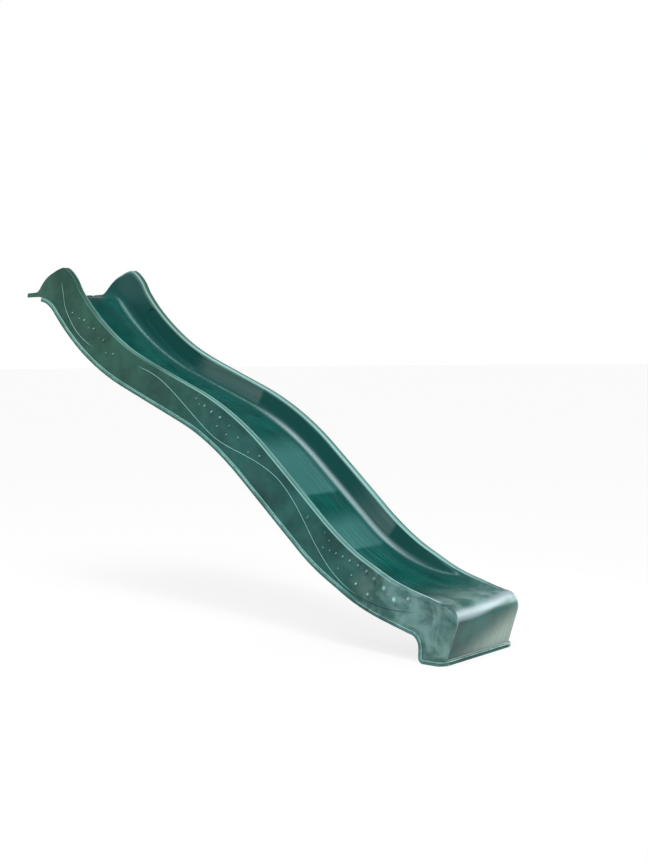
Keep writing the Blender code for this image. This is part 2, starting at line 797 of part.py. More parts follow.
def build_nut(place, parent, material):
    """The hexagonal lock nut on the connector's shank."""
    top = gasket_top() - GASKET_THICKNESS - FIT_GAP
    low = top - NUT_THICKNESS
    obj = new_object("inlet_lock_nut", hexagon(NUT_ACROSS_FLATS, low, top), parent)
    obj.matrix_local = place
    bore = INLET_DIAMETER / 2 + FIT_GAP
    bar = [(0.0, low - WALL), (bore, low - WALL), (bore, top + WALL), (0.0, top + WALL)]
    hole = new_object("nut bore", turned(bar), parent)
    hole.matrix_local = place
    add_boolean(obj, hole, "DIFFERENCE")
    bpy.context.view_layer.update()
    finish(obj, material)


def main():
    for old in list(bpy.data.objects):
        bpy.data.objects.remove(old)
    moulded = make_material("green_polyethylene", (0.045, 0.185, 0.150), 0.42)
    cap = make_material("cap_polyethylene", (0.040, 0.140, 0.115), 0.50)
    steel = make_material("zinc_plated_steel", (0.62, 0.62, 0.60), 0.35, 1.0)
    nylon = make_material("black_nylon", (0.030, 0.030, 0.032), 0.45)
    rubber = make_material("black_rubber", (0.020, 0.020, 0.020), 0.80)

    chute = Chute()
    length = chute.floor.end_x + NOSE_RADIUS * (1 - math.sin(chute.floor.end_slope))
    middle = bpy.data.objects.new("slide_middle", None)
    bpy.context.scene.collection.objects.link(middle)
    middle.location = (-length / 2, 0.0, 0.0)

    inlet_place = chute.floor.frame_at(DECK_LENGTH + BROW_RADIUS * math.radians(INLET_ANGLE))
    build_chute(chute, inlet_place, middle, moulded)
    for side, y in (("left", SCREW_SPACING / 2), ("right", -SCREW_SPACING / 2)):
        place = (SCREW_INSET, y, DECK_TOP)
        build_screw(f"deck_screw_{side}", place, middle, steel)
        build_cup(f"cap_seat_{side}", place, middle, cap)
        build_lid(f"cap_lid_{side}", place, middle, cap)
    build_inlet(inlet_place, middle, nylon)
    build_gasket(inlet_place, middle, rubber)
    build_nut(inlet_place, middle, nylon)


main()
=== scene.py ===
"""A moulded wave slide with its platform fixings and hose connector, set out on a pale studio floor.

Lengths are in metres. +X runs from the platform down to the exit, +Y is the left side, looking downhill, and
+Z is up. The chute is laid out from the tip of its platform flange at X = 0 and then brought into the frame.
"""

import math

import bmesh
import bpy
import numpy as np
from bpy.props import FloatProperty, FloatVectorProperty, PointerProperty, StringProperty
from mathutils import Matrix, Vector


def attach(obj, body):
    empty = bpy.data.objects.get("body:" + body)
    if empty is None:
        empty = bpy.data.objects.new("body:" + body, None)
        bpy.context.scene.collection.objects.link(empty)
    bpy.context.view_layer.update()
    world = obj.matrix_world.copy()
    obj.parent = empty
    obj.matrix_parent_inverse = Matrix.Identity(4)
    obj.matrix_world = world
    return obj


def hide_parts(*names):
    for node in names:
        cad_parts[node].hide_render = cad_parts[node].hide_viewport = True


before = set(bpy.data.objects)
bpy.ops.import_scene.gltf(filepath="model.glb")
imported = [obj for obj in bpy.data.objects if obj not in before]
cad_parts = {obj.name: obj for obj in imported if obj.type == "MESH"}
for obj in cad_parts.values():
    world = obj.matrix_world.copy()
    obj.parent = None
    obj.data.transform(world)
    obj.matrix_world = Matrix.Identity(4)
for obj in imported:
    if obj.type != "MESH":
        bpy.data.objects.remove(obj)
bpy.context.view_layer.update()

bl_info = {
    "name": "Wave slide",
    "version": (1, 0, 0),
    "blender": (4, 5, 0),
    "location": "View3D > Sidebar > Slide",
    "description": "Builds a moulded wave slide, its fixings and its studio",
    "category": "Object",
}

# Heights and wall of the moulding
PLATFORM_HEIGHT = 1.200
EXIT_HEIGHT = 0.190
WALL = 0.005
DECK_TOP = PLATFORM_HEIGHT + WALL

# Runs of the sliding floor: straight length or arc radius, and the slope in degrees where it starts and ends
DECK_LENGTH = 0.088
BROW_RADIUS = 0.135
NOSE_RADIUS = 0.048
BROW_SLOPE = 47.0
MIDDLE_SLOPE = 21.0
STEEPEST = 41.0
EXIT_SLOPE = 5.5
FLOOR_RUNS = [
    (DECK_LENGTH, 0.0, 0.0, 0.0),
    (0.0, BROW_RADIUS, 0.0, BROW_SLOPE),
    (0.020, 0.0, BROW_SLOPE, BROW_SLOPE),
    (0.0, 1.030, BROW_SLOPE, MIDDLE_SLOPE),
    (0.335, 0.0, MIDDLE_SLOPE, MIDDLE_SLOPE),
    (0.0, 1.080, MIDDLE_SLOPE, STEEPEST),
    (0.0, 0.0, STEEPEST, STEEPEST),
    (0.0, 0.620, STEEPEST, EXIT_SLOPE),
    (0.203, 0.0, EXIT_SLOPE, EXIT_SLOPE),
]
# The run whose length is whatever the slide's height leaves for it
REMAINING_RUN = 6

# Cross-section
HALF_SPAN = 0.1895
RIM_WIDTH = 0.028
RIM_EDGE_RADIUS = 0.007
RIM_INNER = HALF_SPAN - RIM_WIDTH
FLOOR_FILLET = 0.045
INNER_DRAFT = math.radians(10)
OUTER_DRAFT = math.radians(3)
WALL_RISE = 0.091
LIP_HEIGHT = 0.017
LIP_STEP = 0.007
LIP_SLANT = 0.005
LIP_TOP_ROUNDING = 0.0020
LIP_FOOT_ROUNDING = 0.0012

# The wall stands back below the rim's band: how far, between which depths, and where along the floor
BAND_STEP = 0.0016
BAND_DEPTHS = (0.0105, 0.0125)
BAND_BEGINS, BAND_STOPS = (0.78, 1.10), (2.03, 2.16)

# Foot, and the shares of its length at which the heel's arc ends and the corner's arc starts and ends
UNDERCUT = math.radians(19)
FOOT_LENGTH = 0.096
HEEL_RADIUS = 0.042
HEEL_CORNER_RADIUS = 0.018
FOOT_EDGE_RADIUS = 0.016
CORNER_RADIUS = 0.024
HEEL_DROP = 0.1125
HEEL_END, CORNER_START, CORNER_END = 0.4, 0.5, 0.8

# Hook, ribs and holes
HOOK_LENGTH = 0.095
HOOK_WEB = 0.005
HOOK_WEB_EDGE_GAP = 0.003
HOOK_CUT_INSET = 0.030
RIB_COUNT = 7
RIB_THICKNESS = 0.004
RIB_EDGE_GAP = 0.018
FIRST_RIB_PLACE = 0.260
LAST_RIB_SETBACK = 0.330
SCREW_SPACING = 0.180
SCREW_INSET = 0.046
SCREW_HOLE_RADIUS = 0.0038
INLET_ANGLE = math.radians(19)
INLET_HOLE_RADIUS = 0.0108
INLET_SEAT_RADIUS = 0.0163
FIT_GAP = 0.0003
SIDES = (("left", 1), ("right", -1))

# How deep a web stands in the wall it joins, and how far a cutting shape reaches past what it cuts
BITE = WALL / 2
REACH = 0.060

# Screws with the cups under their heads
SCREW_HEAD_HEIGHT = 0.0035
CUP_FLOOR = 0.0015
CUP_HEIGHT = 0.0045

# Raised ornament on both side walls: a wave, as (place along the floor, depth below the rim)
WAVE_NODES = [
    (0.152, 0.030),
    (0.165, 0.050),
    (0.200, 0.084),
    (0.255, 0.103),
    (0.350, 0.114),
    (0.800, 0.0295),
    (1.187, 0.109),
    (1.520, 0.0325),
    (1.956, 0.113),
    (2.300, 0.030),
]
WAVE_START, WAVE_END = 0.154, 2.252
# Lengths over which it grows and thins out at its ends
WAVE_TAPERS = (0.03, 0.10)
# Between these places the wave is worn down, by this share of its height
FAINT_BEGINS, FAINT_STOPS = (0.40, 0.52), (0.68, 0.78)
FAINT_SHARE = 0.72

# Bubbles between the wave and the rim, as (place along the floor, depth below the rim, radius)
BUBBLES = [
    (0.286, 0.083, 0.0060),
    (0.332, 0.069, 0.0045),
    (0.361, 0.054, 0.0070),
    (0.399, 0.061, 0.0045),
    (0.428, 0.044, 0.0065),
    (0.474, 0.052, 0.0045),
    (0.503, 0.045, 0.0080),
    (0.541, 0.076, 0.0065),
    (0.580, 0.058, 0.0060),
    (1.048, 0.029, 0.0050),
    (1.068, 0.043, 0.0050),
    (1.094, 0.036, 0.0065),
    (1.132, 0.040, 0.0090),
    (1.176, 0.036, 0.0090),
    (1.226, 0.038, 0.0080),
    (1.280, 0.048, 0.0065),
    (1.345, 0.058, 0.0055),
    (1.391, 0.034, 0.0075),
    (1.178, 0.070, 0.0050),
    (1.230, 0.071, 0.0050),
    (1.682, 0.039, 0.0100),
    (1.773, 0.023, 0.0070),
    (1.806, 0.032, 0.0070),
    (1.798, 0.067, 0.0050),
    (1.827, 0.056, 0.0055),
    (1.855, 0.046, 0.0060),
    (1.886, 0.037, 0.0065),
    (1.919, 0.031, 0.0075),
    (1.959, 0.025, 0.0080),
    (2.000, 0.024, 0.0090),
    (2.038, 0.030, 0.0105),
    (2.084, 0.037, 0.0130),
    (2.129, 0.052, 0.0140),
    (2.182, 0.026, 0.0100),
    (1.887, 0.082, 0.0060),
    (1.945, 0.068, 0.0060),
    (1.972, 0.083, 0.0080),
    (2.025, 0.089, 0.0095),
]

# Grip panel pressed into both inner walls, as places along the floor and depths below the rim
GRIP_START, GRIP_END = 0.318, 0.702
GRIP_TOP, GRIP_LOW = 0.0095, 0.072
GRIP_CORNER = 0.030
GRIP_DEPTH = 0.0028
# Where its soft edge begins and ends, measured outwards from its outline
GRIP_EDGE = (-0.0030, 0.0010)

# Fineness of the mesh. The cells across half the trough lie on the rim, round its inner edge, down the wall,
# round the fillet and from there to the middle; the wall cells lie down the outside.
STATION_STEP = 0.0085
OUTER_CELLS = (3, 5, 16, 12, 4)
INNER_CELLS = (1, 5, 16, 12, 4)
OUTER_WALL_CELLS, INNER_WALL_CELLS = 12, 5
EDGE_CELLS = 6
CORNER_CELLS = 8
# Rows close together where the rim's band ends, as depths below the rim's rounding
BAND_ROWS = (0.0030, 0.0036, 0.0042, 0.0048, 0.0055, 0.0070)
TURN_FACETS = 64
ROWS_PER_TURN = 10

# Lamps: the key light's direction and width in degrees, and each soft lamp's place, target and size
KEY_LIGHT = ((0.28, -0.44, 0.84), 40.0)
STRIP_LIGHT = ((0.08, -1.62, 4.70), (0.30, 0.0, 0.50), (4.2, 0.45))
EXIT_LIGHT = ((1.48, 1.08, 0.58), (1.03, 0.0, 0.17), (1.00, 0.44))
# In reflections the white backdrop ends between 7 and 18 degrees up, which are these heights
BACKDROP_END = (0.12, 0.31)


def smoothstep(edge_a, edge_b, values):
    """0 before the first edge, 1 past the second, and a smooth cubic between them."""
    share = np.clip((values - edge_a) / (edge_b - edge_a), 0.0, 1.0)
    return share**2 * (3 - 2 * share)


def smooth_through(places, values, wanted):
    """Heights on a smooth curve through given places that never overshoots them.

    Each inner node's slope is the harmonic mean of its neighbours', and 0 where they turn.
    """
    places, values = np.array(places, float), np.array(values, float)
    slopes = np.diff(values) / np.diff(places)
    product, total = slopes[:-1] * slopes[1:], slopes[:-1] + slopes[1:]
    inner = np.where(product > 0, 2 * product / np.where(product > 0, total, 1.0), 0.0)
    tangents = np.concatenate([slopes[:1], inner, slopes[-1:]])
    wanted = np.clip(wanted, places[0], places[-1])
    i = np.clip(np.searchsorted(places, wanted, side="right") - 1, 0, len(slopes) - 1)
    width = places[i + 1] - places[i]
    t = (wanted - places[i]) / width
    return (
        values[i] * (2 * t**3 - 3 * t**2 + 1)
        + tangents[i] * width * (t**3 - 2 * t**2 + t)
        + values[i + 1] * (3 * t**2 - 2 * t**3)
        + tangents[i + 1] * width * (t**3 - t**2)
    )


def shifted(points, distance):
    """A run of 2-D points moved to its left by this distance, with mitred corners."""
    points = np.array(points, float)
    along = np.diff(points, axis=0)
    along /= np.linalg.norm(along, axis=1)[:, None]
    left = np.column_stack((-along[:, 1], along[:, 0]))
    before, after = np.vstack((left[:1], left)), np.vstack((left, left[-1:]))
    mitre = distance / (1 + np.sum(before * after, axis=1))
    return points + mitre[:, None] * (before + after)


class FloorLine:
    """The sliding floor in side view: straight runs and arcs, each leaving as the last one arrived."""

    def __init__(self):
        self.runs = []
        for length, radius, start, end in FLOOR_RUNS:
            start, end = math.radians(start), math.radians(end)
            self.runs.append((length or radius * abs(end - start), radius, start, end))
        _, _, slope, _ = self.runs[REMAINING_RUN]
        left = (DECK_TOP - EXIT_HEIGHT - sum(self.fall(*run) for run in self.runs)) / math.sin(slope)
        self.runs[REMAINING_RUN] = (left, 0.0, slope, slope)
        self.ends = np.cumsum([0.0] + [run[0] for run in self.runs])
        self.length = float(self.ends[-1])
        end_x, end_z, self.end_slope = (float(value) for value in self.at(self.length))
        self.end = np.array([end_x, end_z])

    @staticmethod
    def fall(length, radius, start, end):
        if radius:
            return radius * abs(math.cos(start) - math.cos(end))
        return length * math.sin(start)

    def at(self, station):
        """Arrays of x, z and downward slope at these distances along the floor."""
        station = np.asarray(station, float)
        x, z = np.zeros_like(station), np.full_like(station, DECK_TOP)
        slope = np.zeros_like(station)
        for (length, radius, start, end), begin in zip(self.runs, self.ends):
            along = np.clip(station - begin, 0.0, length)
            if radius:
                turn = math.copysign(1.0, end - start)
                angle = start + turn * along / radius
                x += turn * radius * (np.sin(angle) - math.sin(start))
                z += turn * radius * (np.cos(angle) - math.cos(start))
            else:
                angle = np.full_like(station, start)
                x += along * math.cos(start)
                z -= along * math.sin(start)
            slope = np.where(station >= begin, angle, slope)
        return x, z, slope

    def square_to(self, station, height):
        """Points (x, z) at these heights square to the floor."""
        x, z, slope = self.at(station)
        return np.stack((x + height * np.sin(slope), z + height * np.cos(slope)), axis=-1)

    def frame_at(self, station):
        """A matrix at the floor's middle: X runs down the slide, Y across it and Z square to the floor."""
        x, z, slope = self.at(station)
        return Matrix.Translation((float(x), 0.0, float(z))) @ Matrix.Rotation(float(slope), 4, "Y")


FLOOR = FloorLine()
FLAT_FROM = FLOOR.length - CORNER_RADIUS
LAYOUT_SHIFT = -(FLOOR.end[0] + NOSE_RADIUS * (1 - math.sin(FLOOR.end_slope))) / 2


def nose_front(rows, inset=0.0):
    """(x, z) down the front at these rows, this far inside the skin.

    Rows 0 to 5 turn round the nose's circle and rows 5 to 6 run straight down the undercut face.
    """
    slope, last = FLOOR.end_slope, math.pi / 2 + UNDERCUT
    share = np.interp(rows, range(6), (0.0, 0.12, 0.28, 0.42, 0.7, 1.0))
    angle = slope + (last - slope) * share
    outward = np.stack((np.sin(angle), np.cos(angle)), axis=-1)
    start = np.array([math.sin(slope), math.cos(slope)])
    points = FLOOR.end + NOSE_RADIUS * (outward - start)
    face_top = FLOOR.end + NOSE_RADIUS * (np.array([math.sin(last), math.cos(last)]) - start)
    fall = face_top[1] - LIP_HEIGHT
    down = np.clip(rows - 5.0, 0.0, 1.0)[..., None] * np.array([-fall * math.tan(UNDERCUT), -fall])
    return points + down - inset * outward


FACE_FOOT = nose_front(np.array(6.0))
FRONT_TOP_Z = float(FLOOR.end[1])
HEEL_X = FACE_FOOT[0] + LIP_STEP - FOOT_LENGTH
HEEL_RUN = FLOOR.end[0] - HEEL_X + HEEL_RADIUS * (1 - math.sin(FLOOR.end_slope))
HEEL_START = FLOOR.length - HEEL_RUN / math.cos(FLOOR.end_slope) + HEEL_DROP * math.tan(FLOOR.end_slope)


def rise(station):
    """The rim's height above the floor."""
    length = FLOOR.length
    places = [0.0, 0.050, 0.128, 0.166, 0.250, 0.460, 0.800]
    heights = [0.012, 0.014, 0.097, 0.145, 0.131, 0.114, WALL_RISE]
    places += [length - 0.558, length - 0.325, length - 0.155, FLAT_FROM]
    heights += [0.085, 0.063, 0.022, 0.0]
    return smooth_through(places, heights, station)


def drop(station):
    """How far the lip's edge hangs below the floor."""
    length, ends = FLOOR.length, FLOOR.ends
    places = [ends[2], 0.460, ends[5], ends[6], length - 0.558, length - 0.440, length - 0.315, HEEL_START]
    return smooth_through(places, [0.0245, 0.036, 0.0475, 0.060, 0.060, 0.062, 0.078, HEEL_DROP], station)


def edge_radius(station):
    """The rim's outer rounding, which widens over the foot."""
    share = smoothstep(HEEL_START, FLAT_FROM, station)
    return RIM_EDGE_RADIUS + (FOOT_EDGE_RADIUS - RIM_EDGE_RADIUS) * share


def band_step(station):
    """How far the wall stands back below the rim's band, which fades out towards both ends of the slide."""
    return BAND_STEP * smoothstep(*BAND_BEGINS, station) * (1 - smoothstep(*BAND_STOPS, station))


def wall_out(station, depth):
    """Half the width over the side walls at this depth below the rim: rounding, band and drafted wall."""
    radius = edge_radius(station)
    round_part = HALF_SPAN - radius + np.sqrt(np.maximum(radius**2 - (radius - depth) ** 2, 0.0))
    wall = HALF_SPAN + (depth - radius) * math.tan(OUTER_DRAFT)
    wall = wall - band_step(station) * smoothstep(*BAND_DEPTHS, depth)
    return np.where(depth < radius, round_part, wall)


def grip_press(station, depth):
    """How far the grip panel is pressed in: a rounded rectangle with soft edges along and below the rim."""
    middle, half = (GRIP_START + GRIP_END) / 2, (GRIP_END - GRIP_START) / 2
    centre, tall = (GRIP_TOP + GRIP_LOW) / 2, (GRIP_LOW - GRIP_TOP) / 2
    over_x = np.maximum(np.abs(station - middle) - half + GRIP_CORNER, 0.0)
    over_z = np.maximum(np.abs(depth - centre) - tall + GRIP_CORNER, 0.0)
    return GRIP_DEPTH * (1 - smoothstep(*GRIP_EDGE, np.hypot(over_x, over_z) - GRIP_CORNER))


def section(stations, rim_cells, round_cells, wall_cells, fillet_cells, floor_cells, pressed):
    """(y, height above the floor) across half the chute, from the rim's outer rounding to the middle.

    The rim is flat, its inner edge is an arc, the wall leans in by its draft and ends in a circular fillet.
    Where the rim is lower than the usual wall, all of it eases into an even cosine ramp.
    """
    high = rise(stations)[:, None]
    full = np.maximum(high, WALL_RISE)
    steep = math.pi / 2 - INNER_DRAFT
    fillet_top = FLOOR_FILLET * (1 - math.cos(steep))
    lean = (WALL_RISE - RIM_EDGE_RADIUS - fillet_top) * math.tan(INNER_DRAFT)
    floor_edge = RIM_INNER - lean - FLOOR_FILLET * math.sin(steep)
    parts = [np.linspace(0, 2, round_cells, endpoint=False), np.linspace(2, 3, wall_cells, endpoint=False)]
    index = np.concatenate(parts + [np.linspace(3, 7, fillet_cells + 1)])[None, :]
    turn = np.pi / 4 * np.clip(index, 0, 2)
    round_y = RIM_INNER + RIM_EDGE_RADIUS * (1 - np.sin(turn))
    round_h = full - RIM_EDGE_RADIUS * (1 - np.cos(turn))
    turn = steep * (7 - np.clip(index, 3, 7)) / 4
    fillet_y = floor_edge + FLOOR_FILLET * np.sin(turn)
    fillet_h = FLOOR_FILLET * (1 - np.cos(turn))
    on_wall = np.clip(index - 2, 0, 1)
    y = round_y + on_wall * (floor_edge + FLOOR_FILLET * math.sin(steep) - RIM_INNER)
    y = np.where(index > 3, fillet_y, y)
    h = round_h + on_wall * (fillet_top - (full - RIM_EDGE_RADIUS))
    h = np.where(index > 3, fillet_h, h)
    ease = 1 - high / full
    share = index / 7
    first_y = RIM_INNER + RIM_EDGE_RADIUS
    y = y + ease * (first_y + (floor_edge - first_y) * share - y)
    h = high * ((1 - ease) * h / full + ease * (1 + np.cos(np.pi * share)) / 2)
    if pressed:
        y = y + grip_press(stations[:, None], high - h) * (index < 6)
    across = np.linspace(0, 1, rim_cells, endpoint=False)[None, :]
    outer = HALF_SPAN - edge_radius(stations)[:, None]
    rim_y = outer + across * (first_y - outer)
    middle = np.linspace(1, 0, floor_cells + 1)[None, 1:]
    y = np.concatenate((rim_y, y, floor_edge * middle + 0 * high), axis=1)
    h = np.concatenate((high + 0 * rim_y, h, 0 * middle + 0 * high), axis=1)
    return y, h


def inset_section(y, h, inset):
    """The section moved inwards: each point goes along the run's own normal, and the middle straight down."""
    dy, dh = np.gradient(y, axis=1), np.gradient(h, axis=1)
    size = np.hypot(dy, dh)
    ny, nh = dh / size, -dy / size
    nh[:, -1], ny[:, -1] = 1.0, 0.0
    return y - inset * ny, h - inset * nh


def foot_columns():
    """The lip round the heel and along the ground, as shares of the foot's length, edges and wall starts."""
    edge = FLOOR.square_to(HEEL_START, -HEEL_DROP)
    slope = FLOOR.end_slope
    centre = edge - HEEL_RADIUS * np.array([math.sin(slope), math.cos(slope)])
    heel_part, straight_part = np.linspace(0, HEEL_END, 13)[1:], [0.43, 0.47]
    corner_part, ground_part = np.linspace(CORNER_START, CORNER_END, 10), np.linspace(CORNER_END, 1.0, 9)[1:]
    share = np.concatenate((heel_part, straight_part, corner_part, ground_part))
    turn = slope + (np.pi / 2 - slope) * np.clip(share / HEEL_END, 0, 1)
    outward = np.stack((np.sin(turn), np.cos(turn)), axis=1)
    edges, starts = centre + HEEL_RADIUS * outward, centre + (HEEL_RADIUS + LIP_HEIGHT) * outward
    turn = np.pi / 2 * np.clip((share - CORNER_START) / (CORNER_END - CORNER_START), 0, 1)
    outward = np.stack((-np.cos(turn), -np.sin(turn)), axis=1)
    corner = np.array([HEEL_X + HEEL_CORNER_RADIUS, HEEL_CORNER_RADIUS])
    round_edges = corner + HEEL_CORNER_RADIUS * outward
    round_starts = corner + (HEEL_CORNER_RADIUS - LIP_HEIGHT) * outward
    on_ground = np.clip((share - CORNER_END) / (1 - CORNER_END), 0, 1)
    along = on_ground * (FACE_FOOT[0] - CORNER_RADIUS - corner[0])
    round_edges[:, 0] += along
    round_starts[:, 0] += along
    down = np.clip((share - HEEL_END) / (CORNER_START - HEEL_END), 0, 1)[:, None]
    above = share[:, None] < CORNER_START
    last, first = len(heel_part) - 1, len(heel_part) + len(straight_part)
    edges = np.where(above, edges + down * (round_edges[first] - edges[last]), round_edges)
    starts = np.where(above, starts + down * (round_starts[first] - starts[last]), round_starts)
    return share, edges, starts


def rounded(before, corner, after, cells):
    """Points on a quadratic arc that leaves the first point and reaches the last along the corner's sides."""
    t = np.linspace(0, 1, cells + 1)[:, None]
    return (1 - t) ** 2 * before + 2 * t * (1 - t) * corner + t**2 * after


def lip_profile(inset):
    """(down, out) from where the lip leaves the wall, round its slanted ledge and down its band."""
    tip, foot = np.array([LIP_SLANT, LIP_STEP]), np.array([LIP_HEIGHT, LIP_STEP])
    if inset:
        above = -REACH / 2
        plain = np.array([(above, above * math.tan(OUTER_DRAFT)), (0.0, 0.0), tip, foot])
        return shifted(plain, -inset)[1:]
    ledge, fall = tip / np.linalg.norm(tip), np.array([1.0, 0.0])
    nose = rounded(tip - LIP_TOP_ROUNDING * ledge, tip, tip + LIP_TOP_ROUNDING * fall, 4)
    heel = rounded(foot - LIP_FOOT_ROUNDING * fall, foot, foot - np.array([0.0, LIP_FOOT_ROUNDING]), 3)
    return np.vstack((nose, np.linspace(nose[-1], heel[0], 4)[1:-1], heel))


def side_wall(stations, shares, edges, starts, wall_cells, inset):
    """Points (x, y, z) of the rows down a side wall at every column, and the row numbers on the nose.

    Rows 0 to 3 turn round the rim's edge and rows 3 to 6 run down the wall. Over the foot the columns bend
    towards the nose's own profile, with the square of the column's share of the foot.
    """
    rims = FLOOR.square_to(stations, rise(stations))
    height = np.linalg.norm(starts - rims, axis=1)[:, None]
    down = (starts - rims) / height
    radius = edge_radius(stations)[:, None]
    turn = np.pi / 2 * np.linspace(0, 1, EDGE_CELLS + 1)[None, :]
    round_depth = radius - (radius - inset) * np.cos(turn)
    round_out = HALF_SPAN - radius + (radius - inset) * np.sin(turn)
    lip = lip_profile(inset)
    low = height + (lip[0, 0] if inset else 0.0)
    if inset:
        depth = radius + (low - radius) * np.linspace(0, 1, wall_cells + 1)[None, 1:]
    else:
        depth = radius + np.array(BAND_ROWS)[None, :] + 0 * height
        last = depth[:, -1:]
        depth = np.hstack((depth, last + (low - last) * np.linspace(0, 1, wall_cells + 1)[None, 1:]))
    out = wall_out(stations[:, None], depth) - inset / math.cos(OUTER_DRAFT)
    rows = np.hstack((3 * turn / (np.pi / 2) + 0 * height, 3 + 3 * (depth - radius) / (low - radius)))
    depth, out = np.hstack((round_depth, depth)), np.hstack((round_out, out))

    front = nose_front(rows, inset)
    fall = FRONT_TOP_Z - LIP_HEIGHT
    to_front = (FRONT_TOP_Z - front[..., 1]) * height / fall
    depth = depth + shares[:, None] * (to_front - depth)
    points = rims[:, None, :] + depth[..., None] * down[:, None, :]
    straight_x = FLOOR.end[0] + (FACE_FOOT[0] - FLOOR.end[0]) * depth / height
    points[..., 0] += shares[:, None] ** 2 * (front[..., 0] - straight_x)

    hang = (edges - starts) / LIP_HEIGHT
    lip_rows = lip[1:] if inset else lip
    lip_points = starts[:, None, :] + lip_rows[None, :, :1] * hang[:, None, :]
    wall_foot = wall_out(stations, height[:, 0])[:, None] + 0 * height
    lip_out = wall_foot + lip_rows[None, :, 1]
    points, out = np.concatenate((points, lip_points), axis=1), np.hstack((out, lip_out))
    return np.concatenate((points[..., :1], out[..., None], points[..., 1:]), axis=2), rows[-1], lip_rows


class Skin:
    """One skin of the moulding as points and index grids: trough, side walls, rounded corners and front."""

    def __init__(self, cells, wall_cells, inset):
        rim_cells = cells[0]
        shares, edges, starts = foot_columns()
        plain = stations_along()
        foot = HEEL_START + shares * (FLAT_FROM - HEEL_START)
        stations = np.concatenate((plain, foot))
        lift = drop(plain)
        edges = np.vstack((FLOOR.square_to(plain, -lift), edges))
        starts = np.vstack((FLOOR.square_to(plain, LIP_HEIGHT - lift), starts))
        shares = np.concatenate((0 * plain, shares))
        self.points, self.uv, self.faces, self.count = [], [], [], 0

        # The trough, and its level end over the nose
        y, h = section(stations, *cells, pressed=not inset)
        strip = np.linspace(FLAT_FROM, FLOOR.length, rim_cells + 1)[1:]
        strip_y, strip_h = section(strip, *cells, pressed=False)
        if inset:
            y, h = inset_section(y, h, inset)
            strip_y, strip_h = inset_section(strip_y, strip_h, inset)
        plain_y, _ = section(stations, *cells, pressed=False)
        trough = self.add_rows(stations, y, h, plain_y)
        end = self.add_rows(strip, strip_y[:, rim_cells:], strip_h[:, rim_cells:], strip_y[:, rim_cells:])
        end = np.vstack((trough[-1:, rim_cells:-rim_cells], end))
        self.quads(trough)
        self.quads(end)

        # Both side walls, from the rim's outer edge down to the lip's foot
        wall, front_rows, lip = side_wall(stations, shares, edges, starts, wall_cells, inset)
        wall = wall[:, 1:]
        # The lip's upper and lower edges get marks of 3 to 4, by which the finish finds them and paints a
        # highlight on them.
        marks = np.zeros(wall.shape[1])
        if not inset:
            marks[-11:-6] = (3.5, 3.8, 3.95, 3.8, 3.5)
            marks[-4:-2] = (3.55, 3.8)
        depth = np.linalg.norm((wall - wall[:, :1])[..., [0, 2]], axis=2)
        across = np.where(marks > 0, marks, HALF_SPAN + depth)
        along = stations[:, None] + 0 * depth
        right = self.add(wall * (1, -1, 1), along, -across)
        left = self.add(wall, along, across)
        right = np.hstack((trough[:, :1], right))
        left = np.hstack((trough[:, -1:], left))

        # The nose and the front under it
        nose = nose_front(front_rows[1:], inset)
        lip_front = FACE_FOOT + lip[:, ::-1] * (1, -1)
        nose = np.vstack((nose, lip_front))
        front_y = np.concatenate((-strip_y[-1, rim_cells:], strip_y[-1, rim_cells:-1][::-1]))
        front_points = np.empty((len(front_y), len(nose), 3))
        front_points[..., 0], front_points[..., 2] = nose[None, :, 0], nose[None, :, 1]
        front_points[..., 1] = front_y[:, None]
        run = np.concatenate(([0.0], np.cumsum(np.linalg.norm(np.diff(nose, axis=0), axis=1)))) + 0.01
        across = np.where(marks > 0, marks, front_points[..., 1])
        front = self.add(front_points, FLOOR.length + run[None, :] + 0 * across, across)
        front = np.hstack((end[-1][:, None], front))

        # The rounded corners between the walls and the front
        centre_y = abs(front_y[0])
        turn = (np.pi / 2 * np.arange(1, CORNER_CELLS) / CORNER_CELLS)[:, None]
        side_end = np.vstack((self.point(trough[-1, -1]), wall[-1]))
        nose_end = np.vstack((self.point(end[-1, -1])[[0, 2]], nose))
        corner = np.empty((len(turn), len(side_end), 3))
        corner[..., 0] = side_end[:, 0] + (nose_end[:, 0] - side_end[:, 0]) * np.sin(turn)
        corner[..., 2] = side_end[:, 2] + (nose_end[:, 1] - side_end[:, 2]) * np.sin(turn)
        corner[..., 1] = centre_y + (side_end[:, 1] - centre_y) * np.cos(turn)
        along = FLOOR.length + 0 * corner[..., 0]
        depth = np.linalg.norm((corner - corner[:, :1])[..., [0, 2]], axis=2)
        marks = np.concatenate(([0], marks))
        across = np.where(marks > 0, marks, HALF_SPAN + depth)
        left_corner = self.add(corner, along, across)
        right_corner = self.add(corner * (1, -1, 1), along, -across)
        self.wall_grid = np.vstack((right, right_corner, front, left_corner[::-1], left[::-1]))
        self.quads(self.wall_grid, down=True)
        self.trough = trough

        self.corner_fan(trough[-1, : rim_cells + 1], end[:, 0], right_corner[:, 0], left_side=False)
        self.corner_fan(trough[-1, ::-1][: rim_cells + 1], end[:, -1], left_corner[:, 0], left_side=True)

    def add(self, points, along, across):
        """New vertices with their places along and across the surface, as a grid of indices."""
        grid = np.arange(self.count, self.count + points[..., 0].size).reshape(points.shape[:-1])
        self.points.append(points.reshape(-1, 3))
        self.uv.append(np.stack((along, across), axis=-1).reshape(-1, 2))
        self.count += grid.size
        return grid

    def add_rows(self, stations, y, h, across):
        """Rows of vertices right across the trough, from the right rim to the left one."""
        y = np.hstack((-y, y[:, -2::-1]))
        across = np.hstack((-across, across[:, -2::-1]))
        h = np.hstack((h, h[:, -2::-1]))
        xz = FLOOR.square_to(stations[:, None], h)
        points = np.stack((xz[..., 0], y, xz[..., 1]), axis=-1)
        return self.add(points, stations[:, None] + 0 * y, across)

